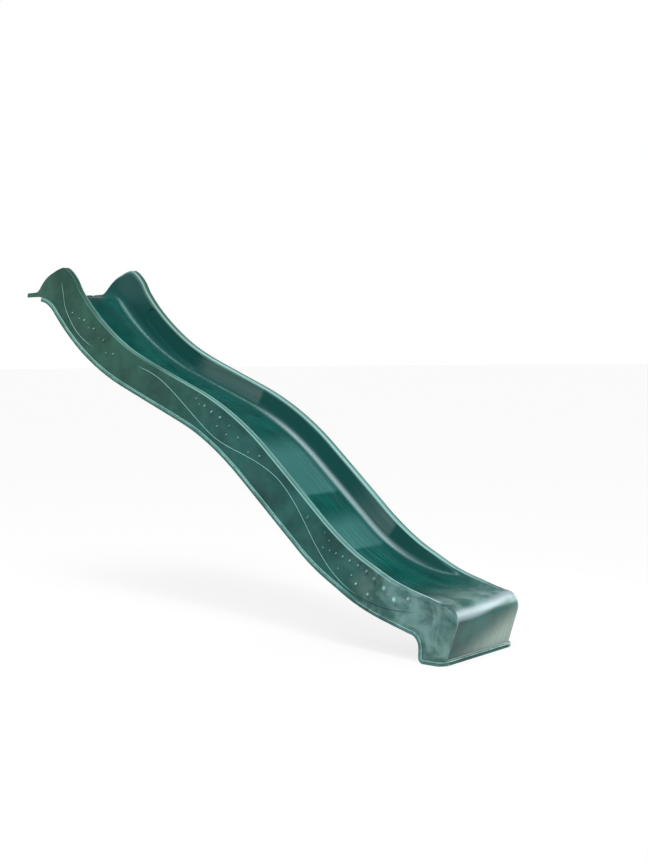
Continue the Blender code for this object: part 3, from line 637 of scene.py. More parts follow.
    def point(self, index):
        """The place of one vertex."""
        return np.vstack(self.points)[index]

    def quads(self, grid, down=False):
        """Faces between neighbouring rows and columns of a grid."""
        a, b, c, d = grid[:-1, :-1], grid[1:, :-1], grid[1:, 1:], grid[:-1, 1:]
        order = (a, d, c, b) if down else (a, b, c, d)
        self.faces.append(np.stack(order, axis=-1).reshape(-1, 4))

    def corner_fan(self, rim, end, arc, left_side):
        """The flat corner between the rim's end and the front edge: rings shrinking to its inner point."""
        points = np.vstack(self.points)
        arc = np.concatenate(([rim[0]], arc, [end[-1]]))
        cells = len(rim) - 1
        rings = [arc]
        for ring in range(1, cells):
            share = 1 - ring / cells
            inner = points[rim[-1]] + share * (points[arc[1:-1]] - points[rim[-1]])
            middle = self.add(inner, FLOOR.length + 0 * inner[:, 0], inner[:, 1])
            rings.append(np.concatenate(([rim[ring]], middle, [end[cells - ring]])))
        for outer, inner in zip(rings, rings[1:]):
            self.quads(np.stack((outer, inner), axis=1), down=left_side)
        last = rings[-1]
        hub = np.full(len(last) - 1, rim[-1])
        order = (last[1:], last[:-1], hub) if left_side else (last[:-1], last[1:], hub)
        self.faces.append(np.stack(order, axis=-1))


def stations_along():
    """Places of the columns before the heel, closer together at the ends of the grip panel."""
    count = math.ceil(HEEL_START / STATION_STEP)
    plain = np.linspace(0.0, HEEL_START, count + 1)
    near = np.arange(-0.004, 0.036, 0.0024)
    extra = np.concatenate((GRIP_START + near, GRIP_END - near))
    gap = np.abs(extra[:, None] - plain[None, :]).min(axis=1)
    least_gap = 0.0008
    return np.sort(np.concatenate((plain, extra[gap > least_gap])))


def link_mesh(name, points, faces, uv=None):
    """An object from an array of points, a list of faces and, where given, the places for its UV map."""
    data = bpy.data.meshes.new(name)
    data.from_pydata(np.asarray(points, float).tolist(), [], faces)
    if uv is not None:
        corners = np.empty(len(data.loops), np.int32)
        data.loops.foreach_get("vertex_index", corners)
        layer = data.uv_layers.new(name="along_across")
        layer.data.foreach_set("uv", np.asarray(uv)[corners].astype(np.float32).ravel())
    data.update()
    obj = bpy.data.objects.new(name, data)
    bpy.context.scene.collection.objects.link(obj)
    return obj


def chute_shell():
    """The closed wall of the moulding: outer skin, inner skin, the lip's underside and the tip's end."""
    outer = Skin(OUTER_CELLS, OUTER_WALL_CELLS, 0.0)
    inner = Skin(INNER_CELLS, INNER_WALL_CELLS, WALL)
    faces = [face for grid in outer.faces for face in grid.tolist()]
    faces += [face[::-1] for grid in inner.faces for face in (grid + outer.count).tolist()]
    top, under = outer.wall_grid, inner.wall_grid + outer.count
    rim = np.stack((top[:-1, -1], under[:-1, -1], under[1:, -1], top[1:, -1]), axis=-1)
    faces += rim.tolist()
    outside = np.concatenate((top[0, ::-1], outer.trough[0, 1:-1], top[-1]))
    inside = np.concatenate((under[0, ::-1], inner.trough[0, 1:-1] + outer.count, under[-1]))
    faces.append(np.concatenate((outside, inside[::-1])).tolist())
    points = np.vstack(outer.points + inner.points)
    # The inner skin is marked as lying beyond the rims, so that none of the trough's wear and painted light
    # shows below.
    beyond_rims = 0.25
    below = np.vstack(inner.uv) * (1, 0) + (0, beyond_rims)
    return link_mesh("chute", points, faces, np.vstack((*outer.uv, below)))


def plate_mesh(outline, thickness, matrix):
    """Points and faces of a flat plate whose outline lies in the matrix's Y and Z, thick along X."""
    outline = np.array(outline, float)
    count = len(outline)
    flat = np.column_stack((np.zeros(count), outline))
    both = np.vstack((flat, flat + (thickness, 0, 0)))
    turn = np.array(matrix)
    points = both @ turn[:3, :3].T + turn[:3, 3]
    ring = np.arange(count)
    sides = np.stack((ring, np.roll(ring, -1), np.roll(ring, -1) + count, ring + count), axis=1)
    return points, [ring.tolist(), (ring[::-1] + count).tolist()] + sides.tolist()


def ring_faces(rows, facets, closed=False):
    """Faces between rings of points, row by row. A closed surface joins its last ring to its first."""
    grid = np.arange(rows * facets).reshape(rows, facets)
    if closed:
        grid = np.vstack((grid, grid[:1]))
    grid = np.hstack((grid, grid[:, :1]))
    a, b, c, d = grid[:-1, :-1], grid[:-1, 1:], grid[1:, 1:], grid[1:, :-1]
    return np.stack((a, b, c, d), axis=-1).reshape(-1, 4).tolist()


def ring_mesh(radius, height, matrix, closed=False):
    """Points and faces of a surface of rings about Z: row by row, a radius and a height at every angle.

    A first or last row of no radius is one pole.
    """
    rows, facets = radius.shape
    angle = 2 * np.pi * np.arange(facets) / facets
    ring = np.stack((radius * np.cos(angle), radius * np.sin(angle), height + 0 * radius), axis=-1)
    turn = np.array(matrix)
    points = ring.reshape(-1, 3) @ turn[:3, :3].T + turn[:3, 3]
    return points, ring_faces(rows, facets, closed)


def profile_rows(profile, facets=TURN_FACETS):
    """Radius and height grids of a plainly turned profile."""
    profile = np.array(profile, float)
    ones = np.ones((1, facets))
    return profile[:, :1] * ones, profile[:, 1:] * ones


def joined(name, meshes):
    """One object from several meshes, with doubled points merged and its faces outwards.

    A mesh is its points and its faces, and, where its finish follows the surface, each point's place there.
    """
    points, faces, places, count = [], [], [], 0
    for some_points, some_faces, *some_places in meshes:
        points.append(some_points)
        faces += [[index + count for index in face] for face in some_faces]
        places += some_places
        count += len(some_points)
    obj = link_mesh(name, np.vstack(points), faces, np.vstack(places) if places else None)
    mesh = bmesh.new()
    mesh.from_mesh(obj.data)
    bmesh.ops.remove_doubles(mesh, verts=mesh.verts, dist=1e-6)
    bmesh.ops.dissolve_degenerate(mesh, edges=mesh.edges, dist=1e-7)
    bmesh.ops.recalc_face_normals(mesh, faces=mesh.faces)
    mesh.to_mesh(obj.data)
    mesh.free()
    return obj


def web_outline(station, edge_gap):
    """(y, height above the floor) round a web under the floor, with its ends inside the wall."""
    place = np.array([station])
    high, low = float(rise(place)[0]), float(drop(place)[0])
    y, h = section(place, 1, 2, 1, 4, 1, pressed=False)
    under_floor = shifted(np.column_stack((y[0], h[0])), BITE)[-6:]
    shoulder = under_floor[0, 1]
    lip = LIP_HEIGHT - low

    def out(height):
        return float(wall_out(place, np.array([high - height]))[0])

    skin = [(out(shoulder), shoulder), (out(lip), lip)]
    if edge_gap < LIP_HEIGHT:
        skin += [(out(lip) + LIP_STEP, lip - LIP_SLANT), (out(lip) + LIP_STEP, -low)]
    end = shifted(skin, -BITE)
    end[-1, 1] = edge_gap - low
    half = np.vstack((end[::-1], under_floor))
    return np.vstack((half, half[-2::-1] * (-1, 1)))


def webs():
    """The hook's web and the cross ribs under the floor."""
    hook_end = DECK_LENGTH + BROW_RADIUS * math.asin((HOOK_LENGTH - DECK_LENGTH) / BROW_RADIUS)
    height = float(FLOOR.at(hook_end)[1])
    place = Matrix.Translation((HOOK_LENGTH, 0.0, height))
    meshes = [plate_mesh(web_outline(hook_end, HOOK_WEB_EDGE_GAP), HOOK_WEB, place)]
    for station in np.linspace(FIRST_RIB_PLACE, FLOOR.length - LAST_RIB_SETBACK, RIB_COUNT):
        place = FLOOR.frame_at(station) @ Matrix.Translation((-RIB_THICKNESS / 2, 0.0, 0.0))
        meshes.append(plate_mesh(web_outline(station, RIB_EDGE_GAP), RIB_THICKNESS, place))
    return joined("webs", meshes)


def inlet_frame():
    """The hose connector's place: on the rounded brow, square to the floor there."""
    return FLOOR.frame_at(DECK_LENGTH + BROW_RADIUS * INLET_ANGLE)


def screw_place(side):
    """The place on the flange's top of the screw on this side, 1 for the left one and -1 for the right."""
    return Matrix.Translation((SCREW_INSET, side * SCREW_SPACING / 2, DECK_TOP))


def seat_depth():
    """How deep the flat seat of the connector's flange is sunk at the middle of the rounded floor."""
    return BROW_RADIUS - math.sqrt(BROW_RADIUS**2 - INLET_SEAT_RADIUS**2)


def cuts():
    """What is cut away: the walls beside the platform's edge, the screw holes, and the connector's seat."""
    meshes = []
    inner, outer = HALF_SPAN - HOOK_CUT_INSET, HALF_SPAN + REACH
    low, high = PLATFORM_HEIGHT - REACH, PLATFORM_HEIGHT
    back = Matrix.Translation((-REACH, 0.0, 0.0))
    for side in (-1, 1):
        outline = [(side * inner, low), (side * outer, low), (side * outer, high), (side * inner, high)]
        meshes.append(plate_mesh(outline, HOOK_LENGTH + FIT_GAP + REACH, back))
        bar = [(0.0, -REACH), (SCREW_HOLE_RADIUS, -REACH), (SCREW_HOLE_RADIUS, REACH), (0.0, REACH)]
        meshes.append(ring_mesh(*profile_rows(bar), screw_place(side)))
    depth, far = seat_depth(), REACH / 2
    steps = [(0.0, -far), (INLET_HOLE_RADIUS, -far), (INLET_HOLE_RADIUS, -depth)]
    steps += [(INLET_SEAT_RADIUS, -depth), (INLET_SEAT_RADIUS, far), (0.0, far)]
    meshes.append(ring_mesh(*profile_rows(steps), inlet_frame()))
    return joined("cuts", meshes)


def settle(obj, material, node_names, smooth_angle=35.0):
    """Bring a finished piece into the frame: its modifiers and place go into its mesh, and it rides."""
    tools = [modifier.object for modifier in obj.modifiers if modifier.type == "BOOLEAN"]
    bpy.context.view_layer.update()
    evaluated = obj.evaluated_get(bpy.context.evaluated_depsgraph_get())
    data = bpy.data.meshes.new_from_object(evaluated)
    data.transform(Matrix.Translation((LAYOUT_SHIFT, 0.0, 0.0)))
    obj.modifiers.clear()
    obj.data = data
    data.name = obj.name
    data.materials.clear()
    data.materials.append(material)
    data.shade_smooth()
    data.set_sharp_from_angle(angle=math.radians(smooth_angle))
    for tool in tools:
        bpy.data.objects.remove(tool)
    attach(obj, "root")
    if node_names:
        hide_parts(*node_names)


def linear(hex_colour):
    """An sRGB hex value as linear red, green, blue and full alpha."""
    channels = np.array([int(hex_colour[i : i + 2], 16) for i in (1, 3, 5)]) / 255
    low, high = channels / 12.92, ((channels + 0.055) / 1.055) ** 2.4
    return (*np.where(channels <= 0.04045, low, high).tolist(), 1.0)


def add_node(tree, kind, links=None, values=None, **settings):
    """A node with its settings, its sockets' values and its links, each from a (node, output) pair."""
    node = tree.nodes.new(kind)
    for name, value in settings.items():
        setattr(node, name, value)
    for socket, value in (values or {}).items():
        node.inputs[socket].default_value = value
    for socket, (source, output) in (links or {}).items():
        tree.links.new(source.outputs[output], node.inputs[socket])
    return node


def start_material(name, values):
    """A material with its Principled shader at these values."""
    material = bpy.data.materials.new(name)
    material.use_nodes = True
    tree = material.node_tree
    shader = tree.nodes["Principled BSDF"]
    for socket, value in values.items():
        shader.inputs[socket].default_value = value
    return material, tree, shader


EASINGS = ("LINEAR", "SMOOTHSTEP", "SMOOTHERSTEP")
RANGE_ENDS = ("From Min", "From Max", "To Min", "To Max")
NOSE_START = FLOOR.length


def reflected_stretch(name, first, full, last):
    """Masks of a stretch of painted reflection on the slide, which fades in between two places and ends at a
    clear edge.
    """
    return [
        (f"{name}_in", "SMOOTHSTEP", "along", first, full),
        (f"{name}_out", "SMOOTHSTEP", "along", last + 0.010, last - 0.010),
        (name, "MULTIPLY", f"{name}_in", f"{name}_out"),
    ]


# How the chute's finish is masked, step by step: each mask's name, its kind, and what it reads. In metres,
# "along" is the place down the floor, "side" the place to the left of its middle and "across" the distance
# from its middle. An easing goes from 0 to 1, or between its last two numbers, as what it reads goes from its
# first number to its second. The other kinds take what they read one after the other. On the raised lines
# the mesh puts 1 at the wall to 2 at the crest in place of the distance from the middle, and on the lip's
# edges and the bubbles' tops 3 to 4.
CHUTE_MASKS = [
    ("cloudy", "SMOOTHSTEP", "clouds", 0.26, 0.74),
    ("downhill", "SMOOTHSTEP", "along", 0.45, 1.35),
    # The bloom covers the last 300 mm, in patches, and thinly the rest, down to the middle of the nose; on
    # the exit's floor and the nose's top it also stands for a painted reflection.
    ("blooming", "SMOOTHSTEP", "along", 1.86, 2.20, 0.04, 0.54),
    ("patches", "SMOOTHSTEP", "mottle", 0.34, 0.66, 0.20, 1.0),
    ("off_nose", "SMOOTHSTEP", "along", NOSE_START + 0.075, NOSE_START + 0.045),
    ("bloom_and_reflection", "MULTIPLY", "blooming", "patches", "off_nose"),
    # A pale painted reflection of the floor lies on the front face, thicker towards the ground and the left
    # side.
    ("leaning", "MULTIPLY", "side", 0.45),
    ("slanted", "ADD", "leaning", "along"),
    ("towards_ground", "SMOOTHERSTEP", "slanted", NOSE_START + 0.088, NOSE_START + 0.250, 0.0, 0.85),
    ("front_only", "SMOOTHSTEP", "along", NOSE_START + 0.040, NOSE_START + 0.075),
    ("above_lip", "LESS_THAN", "along", NOSE_START + 0.212),
    ("front_reflection_streaks", "LINEAR", "streaks", 0.30, 0.70, 0.55, 1.0),
    ("front_reflection", "MULTIPLY", "towards_ground", "front_only", "above_lip", "front_reflection_streaks"),
    # A painted highlight lies in a pale band round the nose; it climbs towards the left side.
    ("climb", "SMOOTHSTEP", "side", -0.10, 0.21, 0.0, 0.036),
    ("round_nose", "ADD", "along", "climb"),
    ("nose_top", "SMOOTHSTEP", "round_nose", NOSE_START + 0.026, NOSE_START + 0.060, 0.0, 0.85),
    ("nose_low", "SMOOTHSTEP", "round_nose", NOSE_START + 0.083, NOSE_START + 0.064),
    ("nose_highlight", "MULTIPLY", "nose_top", "nose_low"),
    # The trough lies between the rims' inner edges, 162 mm from the middle, and ends where the nose begins.
    ("trough", "SMOOTHSTEP", "across", 0.166, 0.158),
    ("before_nose", "SMOOTHSTEP", "along", NOSE_START + 0.020, NOSE_START - 0.190),
    ("polished", "MULTIPLY", "trough", "before_nose"),
    # Painted reflections lie on two stretches of the floor and on two stretches of its walls.
    *reflected_stretch("floor_reflection_above", 1.20, 1.36, 1.545),
    *reflected_stretch("floor_reflection_below", 1.62, 1.72, 1.815),
    *reflected_stretch("wall_reflection_above", 0.66, 0.78, 1.045),
    *reflected_stretch("wall_reflection_below", 1.54, 1.76, 1.805),
    ("uneven", "LINEAR", "streaks", 0.30, 0.65, 0.45, 0.85),
    ("floor", "SMOOTHSTEP", "across", 0.142, 0.112),
    ("floor_reflections", "ADD", "floor_reflection_above", "floor_reflection_below"),
    ("floor_reflected", "MULTIPLY", "floor_reflections", "uneven", "floor"),
    ("wall", "SMOOTHSTEP", "across", 0.145, 0.155, 0.0, 0.80),
    ("wall_reflections", "ADD", "wall_reflection_above", "wall_reflection_below"),
    ("wall_reflected", "MULTIPLY", "wall_reflections", "wall", "uneven"),
    # A pale line along both fillets, 131 to 149 mm from the middle, is a painted highlight.
    ("fillet_in", "SMOOTHSTEP", "across", 0.1305, 0.1415),
    ("fillet_out", "SMOOTHSTEP", "across", 0.1500, 0.1430),
    ("fillet_from", "SMOOTHSTEP", "along", 1.00, 1.25, 0.0, 0.62),
    ("fillet_to", "SMOOTHSTEP", "along", 2.05, 1.74),
    ("fillet", "MULTIPLY", "fillet_in", "fillet_out", "fillet_from", "fillet_to"),
    # The rims' tops, from 161 to 192 mm, are paler, least of all at the top: partly wear, partly a painted
    # highlight.
    ("rim", "SMOOTHSTEP", "across", 0.1605, 0.1640),
    ("rim_end", "SMOOTHSTEP", "across", 0.1945, 0.1915),
    ("rim_fall", "SMOOTHSTEP", "across", 0.166, 0.184, 0.85, 0.26),
    ("rim_begins", "SMOOTHSTEP", "along", 0.20, 0.70, 0.16, 0.88),
    ("rim_stops", "SMOOTHSTEP", "along", 2.20, 1.98),
    ("rim_streaks", "LINEAR", "streaks", 0.34, 0.60, 0.30, 1.0),
    ("rim_wear_and_highlight", "MULTIPLY", "rim", "rim_end", "rim_fall", "rim_begins", "rim_stops", "rim_streaks"),
    # A painted highlight lies on the rims' inner edge, 5 mm wide, from the hood down to the nose, the right
    # one more.
    ("edge_in", "SMOOTHSTEP", "across", 0.1604, 0.1626),
    ("edge_out", "SMOOTHSTEP", "across", 0.1678, 0.1655),
    ("edge_stops", "SMOOTHSTEP", "along", NOSE_START - 0.012, NOSE_START - 0.040),
    ("right_side", "LINEAR", "side", -0.10, 0.10, 1.0, 0.40),
    ("edge", "MULTIPLY", "edge_in", "edge_out", "edge_stops", "right_side"),
    # A painted highlight, a thin line on their outer edge, 187 to 192 mm from the middle, lies lower down.
    ("outer_in", "SMOOTHSTEP", "across", 0.1868, 0.1888, 0.0, 0.60),
    ("outer_out", "SMOOTHSTEP", "across", 0.1928, 0.1910),
    ("outer_from", "SMOOTHSTEP", "along", 0.70, 1.05),
    ("outer_edge_highlight", "MULTIPLY", "outer_in", "outer_out", "outer_from", "rim_stops"),
    # Painted highlights on the lip's upper and lower edges and on the bubbles' tops, in patches.
    ("lip_and_bubble_highlight", "SMOOTHSTEP", "across", 3.30, 3.90, 0.0, 0.80),
    ("lip", "MULTIPLY", "lip_and_bubble_highlight", "patches"),
    # Wear and painted highlight together: the rims' tops, their outer edge line, the lip's edges and the
    # bubbles' tops.
    ("wear_and_highlight", "MAXIMUM", "rim_wear_and_highlight", "outer_edge_highlight", "lip"),
    # Painted highlights make the raised lines' crests pale; near the foot painted shade darkens them.
    ("crest_highlight", "SMOOTHSTEP", "across", 1.35, 1.95, 0.0, 0.80),
    ("raised", "LESS_THAN", "across", 2.5),
    ("crest", "MULTIPLY", "crest_highlight", "raised"),
    ("shaded_near_foot", "SMOOTHSTEP", "along", 1.90, 2.00),
    # Fine scratches lie on the lower two thirds of the floor.
    ("lines", "SMOOTHSTEP", "streaks", 0.58, 0.76),
    ("lower_part", "SMOOTHSTEP", "along", 0.9, 1.6),
    ("scratched", "MULTIPLY", "lower_part", "floor", "before_nose", "lines"),
    ("pale_scratches", "MULTIPLY", "scratched", 0.28),
    ("rougher", "MULTIPLY", "scratched", 0.16),
]


def moulded_polyethylene(look):
    """Injection-moulded high-density polyethylene that has stood outdoors.

    The eye gets a waxy half gloss with a soft grain, a greener top and a bluer lower half. The trough is deep
    and smooth, with fine lengthwise scratches; painted reflections lie on two stretches of its floor and two
    of its walls. The rims are paler, partly from wear and partly a painted highlight; painted highlights lie
    on their edges, the raised lines, the lip's edges, the bubbles, the fillets and the nose, painted shade
    darkens the wave near the foot, a painted reflection of the floor lies on the front, and a chalky bloom
    lies on the foot.
    """
    values = {"IOR": 1.54, "Specular IOR Level": 0.34, "Specular Tint": linear("#b4e6df")}
    material, tree, shader = start_material("moulded_polyethylene", values)
    place = add_node(tree, "ShaderNodeTexCoord")
    flow = add_node(tree, "ShaderNodeUVMap", uv_map="along_across")
    parts = add_node(tree, "ShaderNodeSeparateXYZ", {"Vector": (flow, "UV")})
    across = add_node(tree, "ShaderNodeMath", {0: (parts, "Y")}, operation="ABSOLUTE")
    stretch = add_node(tree, "ShaderNodeMapping", {"Vector": (flow, "UV")}, {"Scale": (3.0, 260.0, 1.0)})
    reads = {"along": (parts, "X"), "side": (parts, "Y"), "across": (across, 0)}
    # Pigment clouds about 120 mm across; soft patches of 70 mm; lengthwise streaks 2 to 4 mm wide, drawn
    # wider than the real 0.3 mm scratches so that they show; and mould grain of 5 mm dimples, drawn coarser
    # than the real 1 mm ones for the same reason.
    for name, source, noise in (
        ("clouds", (place, "Object"), {"Scale": 8.0, "Detail": 3.0, "Roughness": 0.55}),
        ("mottle", (place, "Object"), {"Scale": 14.0, "Detail": 6.0, "Roughness": 0.60, "Distortion": 0.6}),
        ("streaks", (stretch, "Vector"), {"Scale": 1.0, "Detail": 4.0}),
        ("grain", (place, "Object"), {"Scale": 200.0, "Detail": 2.0, "Roughness": 0.5}),
    ):
        reads[name] = (add_node(tree, "ShaderNodeTexNoise", {"Vector": source}, noise), "Fac")

    for name, kind, source, *rest in CHUTE_MASKS:
        result = reads[source]
        if kind in EASINGS:
            levels = dict(zip(RANGE_ENDS, rest))
            node = add_node(tree, "ShaderNodeMapRange", {"Value": result}, levels, interpolation_type=kind)
            result = (node, 0)
        else:
            for other in rest:
                links, values = {0: result}, {}
                if other in reads:
                    links[1] = reads[other]
                else:
                    values[1] = other
                result = (add_node(tree, "ShaderNodeMath", links, values, operation=kind), 0)
        reads[name] = result

    # The colours in layers: each goes by its mask from what lies under to what lies over, an earlier layer or
    # a plain colour.
    layers = {}
    for name, mask, under, over in (
        ("upper", "cloudy", look.upper_deep, look.upper_pale),
        ("lower", "cloudy", look.lower_deep, look.lower_pale),
        ("bed", "cloudy", look.trough_deep, look.trough_pale),
        ("outside", "downhill", "upper", "lower"),
        ("outside", "bloom_and_reflection", "outside", look.bloom),
        ("outside", "front_reflection", "outside", look.front_reflection),
        ("outside", "nose_highlight", "outside", look.pale_highlight),
        ("inside", "floor", look.inner_wall, "bed"),
        ("inside", "floor_reflected", "inside", look.floor_reflection),
        ("inside", "wall_reflected", "inside", look.wall_reflection),
        ("inside", "fillet", "inside", look.pale_highlight),
        ("body", "polished", "outside", "inside"),
        ("body", "wear_and_highlight", "body", look.wear_and_highlight),
        ("body", "edge", "body", look.edge_highlight),
        ("crest_highlight_and_shade", "shaded_near_foot", look.wear_and_highlight, look.wave_shade),
        ("body", "crest", "body", "crest_highlight_and_shade"),
        ("body", "pale_scratches", "body", look.scratch),
    ):
        links, values = {"Factor": reads[mask]}, {}
        for socket, value in (("A", under), ("B", over)):
            if value in layers:
                links[socket] = (layers[value], "Result")
            else:
                values[socket] = linear(value)
        layers[name] = add_node(tree, "ShaderNodeMix", links, values, data_type="RGBA")

    levels = {"To Min": look.outside_roughness, "To Max": look.trough_roughness}
    rough = add_node(tree, "ShaderNodeMapRange", {"Value": reads["polished"]}, levels)
    nose = add_node(
        tree,
        "ShaderNodeMapRange",
        {"Value": reads["along"], "To Min": (rough, 0)},
        {"From Min": NOSE_START - 0.060, "From Max": NOSE_START + 0.004, "To Max": look.nose_roughness},
        interpolation_type="SMOOTHSTEP",
    )
    roughness = add_node(tree, "ShaderNodeMath", {0: (nose, 0), 1: reads["rougher"]}, operation="ADD")
    relief = add_node(tree, "ShaderNodeBump", {"Height": reads["grain"]}, {"Distance": 0.00012})
    grooves = add_node(
        tree,
        "ShaderNodeBump",
        {"Height": reads["scratched"], "Normal": (relief, "Normal")},
        {"Distance": 0.0002, "Strength": 0.6},
        invert=True,
    )
    tree.links.new(layers["body"].outputs["Result"], shader.inputs["Base Color"])
    tree.links.new(roughness.outputs[0], shader.inputs["Roughness"])
    tree.links.new(grooves.outputs["Normal"], shader.inputs["Normal"])
    return material


def grained(name, colour, values, pattern_mm, depth_mm, spread):
    """A finish with one grain: noise of this size in mm tints it by this spread and dents it this deep."""
    material, tree, shader = start_material(name, values)
    place = add_node(tree, "ShaderNodeTexCoord")
    noise = {"Scale": 1000.0 / pattern_mm, "Detail": 3.0}
    grain = add_node(tree, "ShaderNodeTexNoise", {"Vector": (place, "Object")}, noise)
    tints = {"A": linear(colour), "B": (*(min(1.0, c * spread) for c in linear(colour)[:3]), 1.0)}
    tint = add_node(tree, "ShaderNodeMix", {"Factor": (grain, "Fac")}, tints, data_type="RGBA")
    dents = add_node(tree, "ShaderNodeBump", {"Height": (grain, "Fac")}, {"Distance": depth_mm / 1000})
    tree.links.new(tint.outputs["Result"], shader.inputs["Base Color"])
    tree.links.new(dents.outputs["Normal"], shader.inputs["Normal"])
    return material


# What the small parts' finishes give the eye: cap_polyethylene is the chute's plastic, a little duller;
# zinc_plated_steel a bright grey metal with soft spangle; black_nylon a dense satin black; and
# black_epdm_rubber a dull black that swallows highlights. Each gives its colour, its shader's values, the
# grain's size and depth in mm, and the grain's paler or darker tint as a share of the colour.
FINISHES = {
    "cap_polyethylene": ("#1f5c50", {"Roughness": 0.46, "IOR": 1.54}, 1.2, 0.03, 1.25),
    "zinc_plated_steel": ("#b9bab4", {"Roughness": 0.34, "Metallic": 1.0}, 1.5, 0.01, 0.85),
    "black_nylon": ("#1c1c1e", {"Roughness": 0.42, "IOR": 1.53}, 0.8, 0.02, 1.4),
    "black_epdm_rubber": ("#131314", {"Roughness": 0.78, "IOR": 1.52}, 0.6, 0.03, 1.5),
}


def finish_of(name):
    """The named finish, made once."""
    return bpy.data.materials.get(name) or grained(name, *FINISHES[name])


class SlideLook(bpy.types.PropertyGroup):
    """Colours and gloss of the moulding."""

    upper_deep: StringProperty(
        name="Upper side, deep", description="Darker pigment of the side walls at the top", default="#163b2f"
    )
    upper_pale: StringProperty(
        name="Upper side, pale", description="Paler pigment of the side walls at the top", default="#2b5a4b"
    )
    lower_deep: StringProperty(
        name="Lower side, deep", description="Darker pigment of the side walls lower down", default="#0c3834"
    )
    lower_pale: StringProperty(
        name="Lower side, pale", description="Paler pigment of the side walls lower down", default="#1e5752"
    )
    trough_deep: StringProperty(
        name="Trough, deep", description="Darker pigment of the polished trough", default="#00403b"
    )
    trough_pale: StringProperty(
        name="Trough, pale", description="Paler pigment of the polished trough", default="#005650"
    )
    inner_wall: StringProperty(
        name="Inner walls", description="Pigment of the trough's walls", default="#1c504d"
    )
    # Partly wear, partly painted highlight: the colour of the rims' tops, the raised lines' crests, the lip's
    # edges and the bubbles' tops.
    wear_and_highlight: StringProperty(
        name="Rubbed", description="Colour of the rubbed rims and raised lines", default="#98d0ca"
    )
    # Painted highlight: the colour of the line on the rims' inner edge.
    edge_highlight: StringProperty(
        name="Worn edges", description="Colour of the rims' worn inner edge", default="#b9dedd"
    )
    # Painted reflection: the colour of the paler stretches of the floor.
    floor_reflection: StringProperty(
        name="Scuffed", description="Colour of the scuffed stretches of the floor", default="#437c7a"
    )
    # Painted reflection: the colour of the paler stretches of the walls.
    wall_reflection: StringProperty(
        name="Haze", description="Colour of the hazed stretches of the walls", default="#647f7c"
    )
    scratch: StringProperty(
        name="Scratches", description="Colour of the fine scratches on the floor", default="#8fc4bd"
    )
    # Painted highlight: the colour of the pale line along the fillets and of the band round the nose.
    pale_highlight: StringProperty(
        name="Rubbed fillets", description="Colour of the rubbed fillets and nose", default="#9cadb4"
    )
    # Painted reflection: the colour of the floor's reflection on the front face.
    front_reflection: StringProperty(
        name="Veil", description="Colour of the dried splashes on the front", default="#a3b3aa"
    )
    # Painted shade: the colour that darkens the wave near the foot.
    wave_shade: StringProperty(
        name="Dirt", description="Colour of the dirt on the wave near the foot", default="#0a2c2a"
    )
    # On the exit's floor and the nose's top this colour also stands for a painted reflection.
    bloom: StringProperty(
        name="Bloom", description="Colour of the chalky bloom on the foot", default="#8fb2af"
    )
    outside_roughness: FloatProperty(
        name="Outside roughness", description="Gloss of the side walls", default=0.40, min=0.0, max=1.0
    )
    trough_roughness: FloatProperty(
        name="Trough roughness", description="Gloss of the polished trough", default=0.24, min=0.0, max=1.0
    )
    nose_roughness: FloatProperty(
        name="Nose roughness", description="Gloss of the nose and front", default=0.31, min=0.0, max=1.0
    )


DISTANCE = {"subtype": "DISTANCE", "unit": "LENGTH"}


class SlideSizes(bpy.types.PropertyGroup):
    """Sizes of the relief and of the threads."""

    wave_width: FloatProperty(
        name="Wave width", description="Width of the raised wave", default=0.0046, min=0.001, **DISTANCE
    )
    wave_height: FloatProperty(
        name="Wave height",
        description="How far the wave stands off the wall",
        default=0.0023,
        min=0.0002,
        **DISTANCE,
    )
    bubble_height: FloatProperty(
        name="Bubble height",
        description="Height of a bubble as a share of its radius",
        default=0.55,
        min=0.05,
        max=1.0,
    )
    screw_pitch: FloatProperty(
        name="Screw pitch",
        description="Thread pitch of the platform screws",
        default=0.0026,
        min=0.0005,
        **DISTANCE,
    )
    inlet_pitch: FloatProperty(
        name="Connector pitch",
        description="Thread pitch of the hose connector",
        default=0.0018,
        min=0.0005,
        **DISTANCE,
    )


class SlideStudio(bpy.types.PropertyGroup):
    """The camera's place, and the strength of the studio's light."""

    camera_place: FloatVectorProperty(
        name="Camera",
        description="Place of the camera",
        default=(3.4847, -3.7100, 1.0040),
        subtype="TRANSLATION",
        unit="LENGTH",
    )
    azimuth: FloatProperty(
        name="Azimuth",
        description="Turn of the view from straight along the width",
        default=math.radians(40.20),
        subtype="ANGLE",
    )
    pitch: FloatProperty(
        name="Pitch", description="How far the view looks down", default=math.radians(3.59), subtype="ANGLE"
    )
    roll: FloatProperty(
        name="Roll", description="Turn about the line of sight", default=math.radians(0.52), subtype="ANGLE"
    )
    lens: FloatProperty(
        name="Lens", description="Focal length in millimetres on a 36 mm frame", default=58.34, min=10.0
    )
    key_strength: FloatProperty(
        name="Key light", description="Strength of the wide lamp high in front", default=1.5, min=0.0
    )
    strip_power: FloatProperty(
        name="Strip light", description="Power of the long lamp overhead", default=70.0, min=0.0, unit="POWER"
    )
    exit_power: FloatProperty(
        name="Exit light",
        description="Power of the lamp beside the exit",
        default=11.0,
        min=0.0,
        unit="POWER",
    )
    ceiling_strength: FloatProperty(
        name="Ceiling", description="Brightness of the ceiling in reflections", default=0.15, min=0.0
    )
    fill_strength: FloatProperty(
        name="Fill", description="Strength of the light from all round", default=0.45, min=0.0
    )


class SlideSettings(bpy.types.PropertyGroup):
    """All that a user would change."""

    look: PointerProperty(type=SlideLook)
    sizes: PointerProperty(type=SlideSizes)
    studio: PointerProperty(type=SlideStudio)


def chute_finish():
    """The chute's finish, made once."""
    look = bpy.context.scene.wave_slide.look
    return bpy.data.materials.get("moulded_polyethylene") or moulded_polyethylene(look)


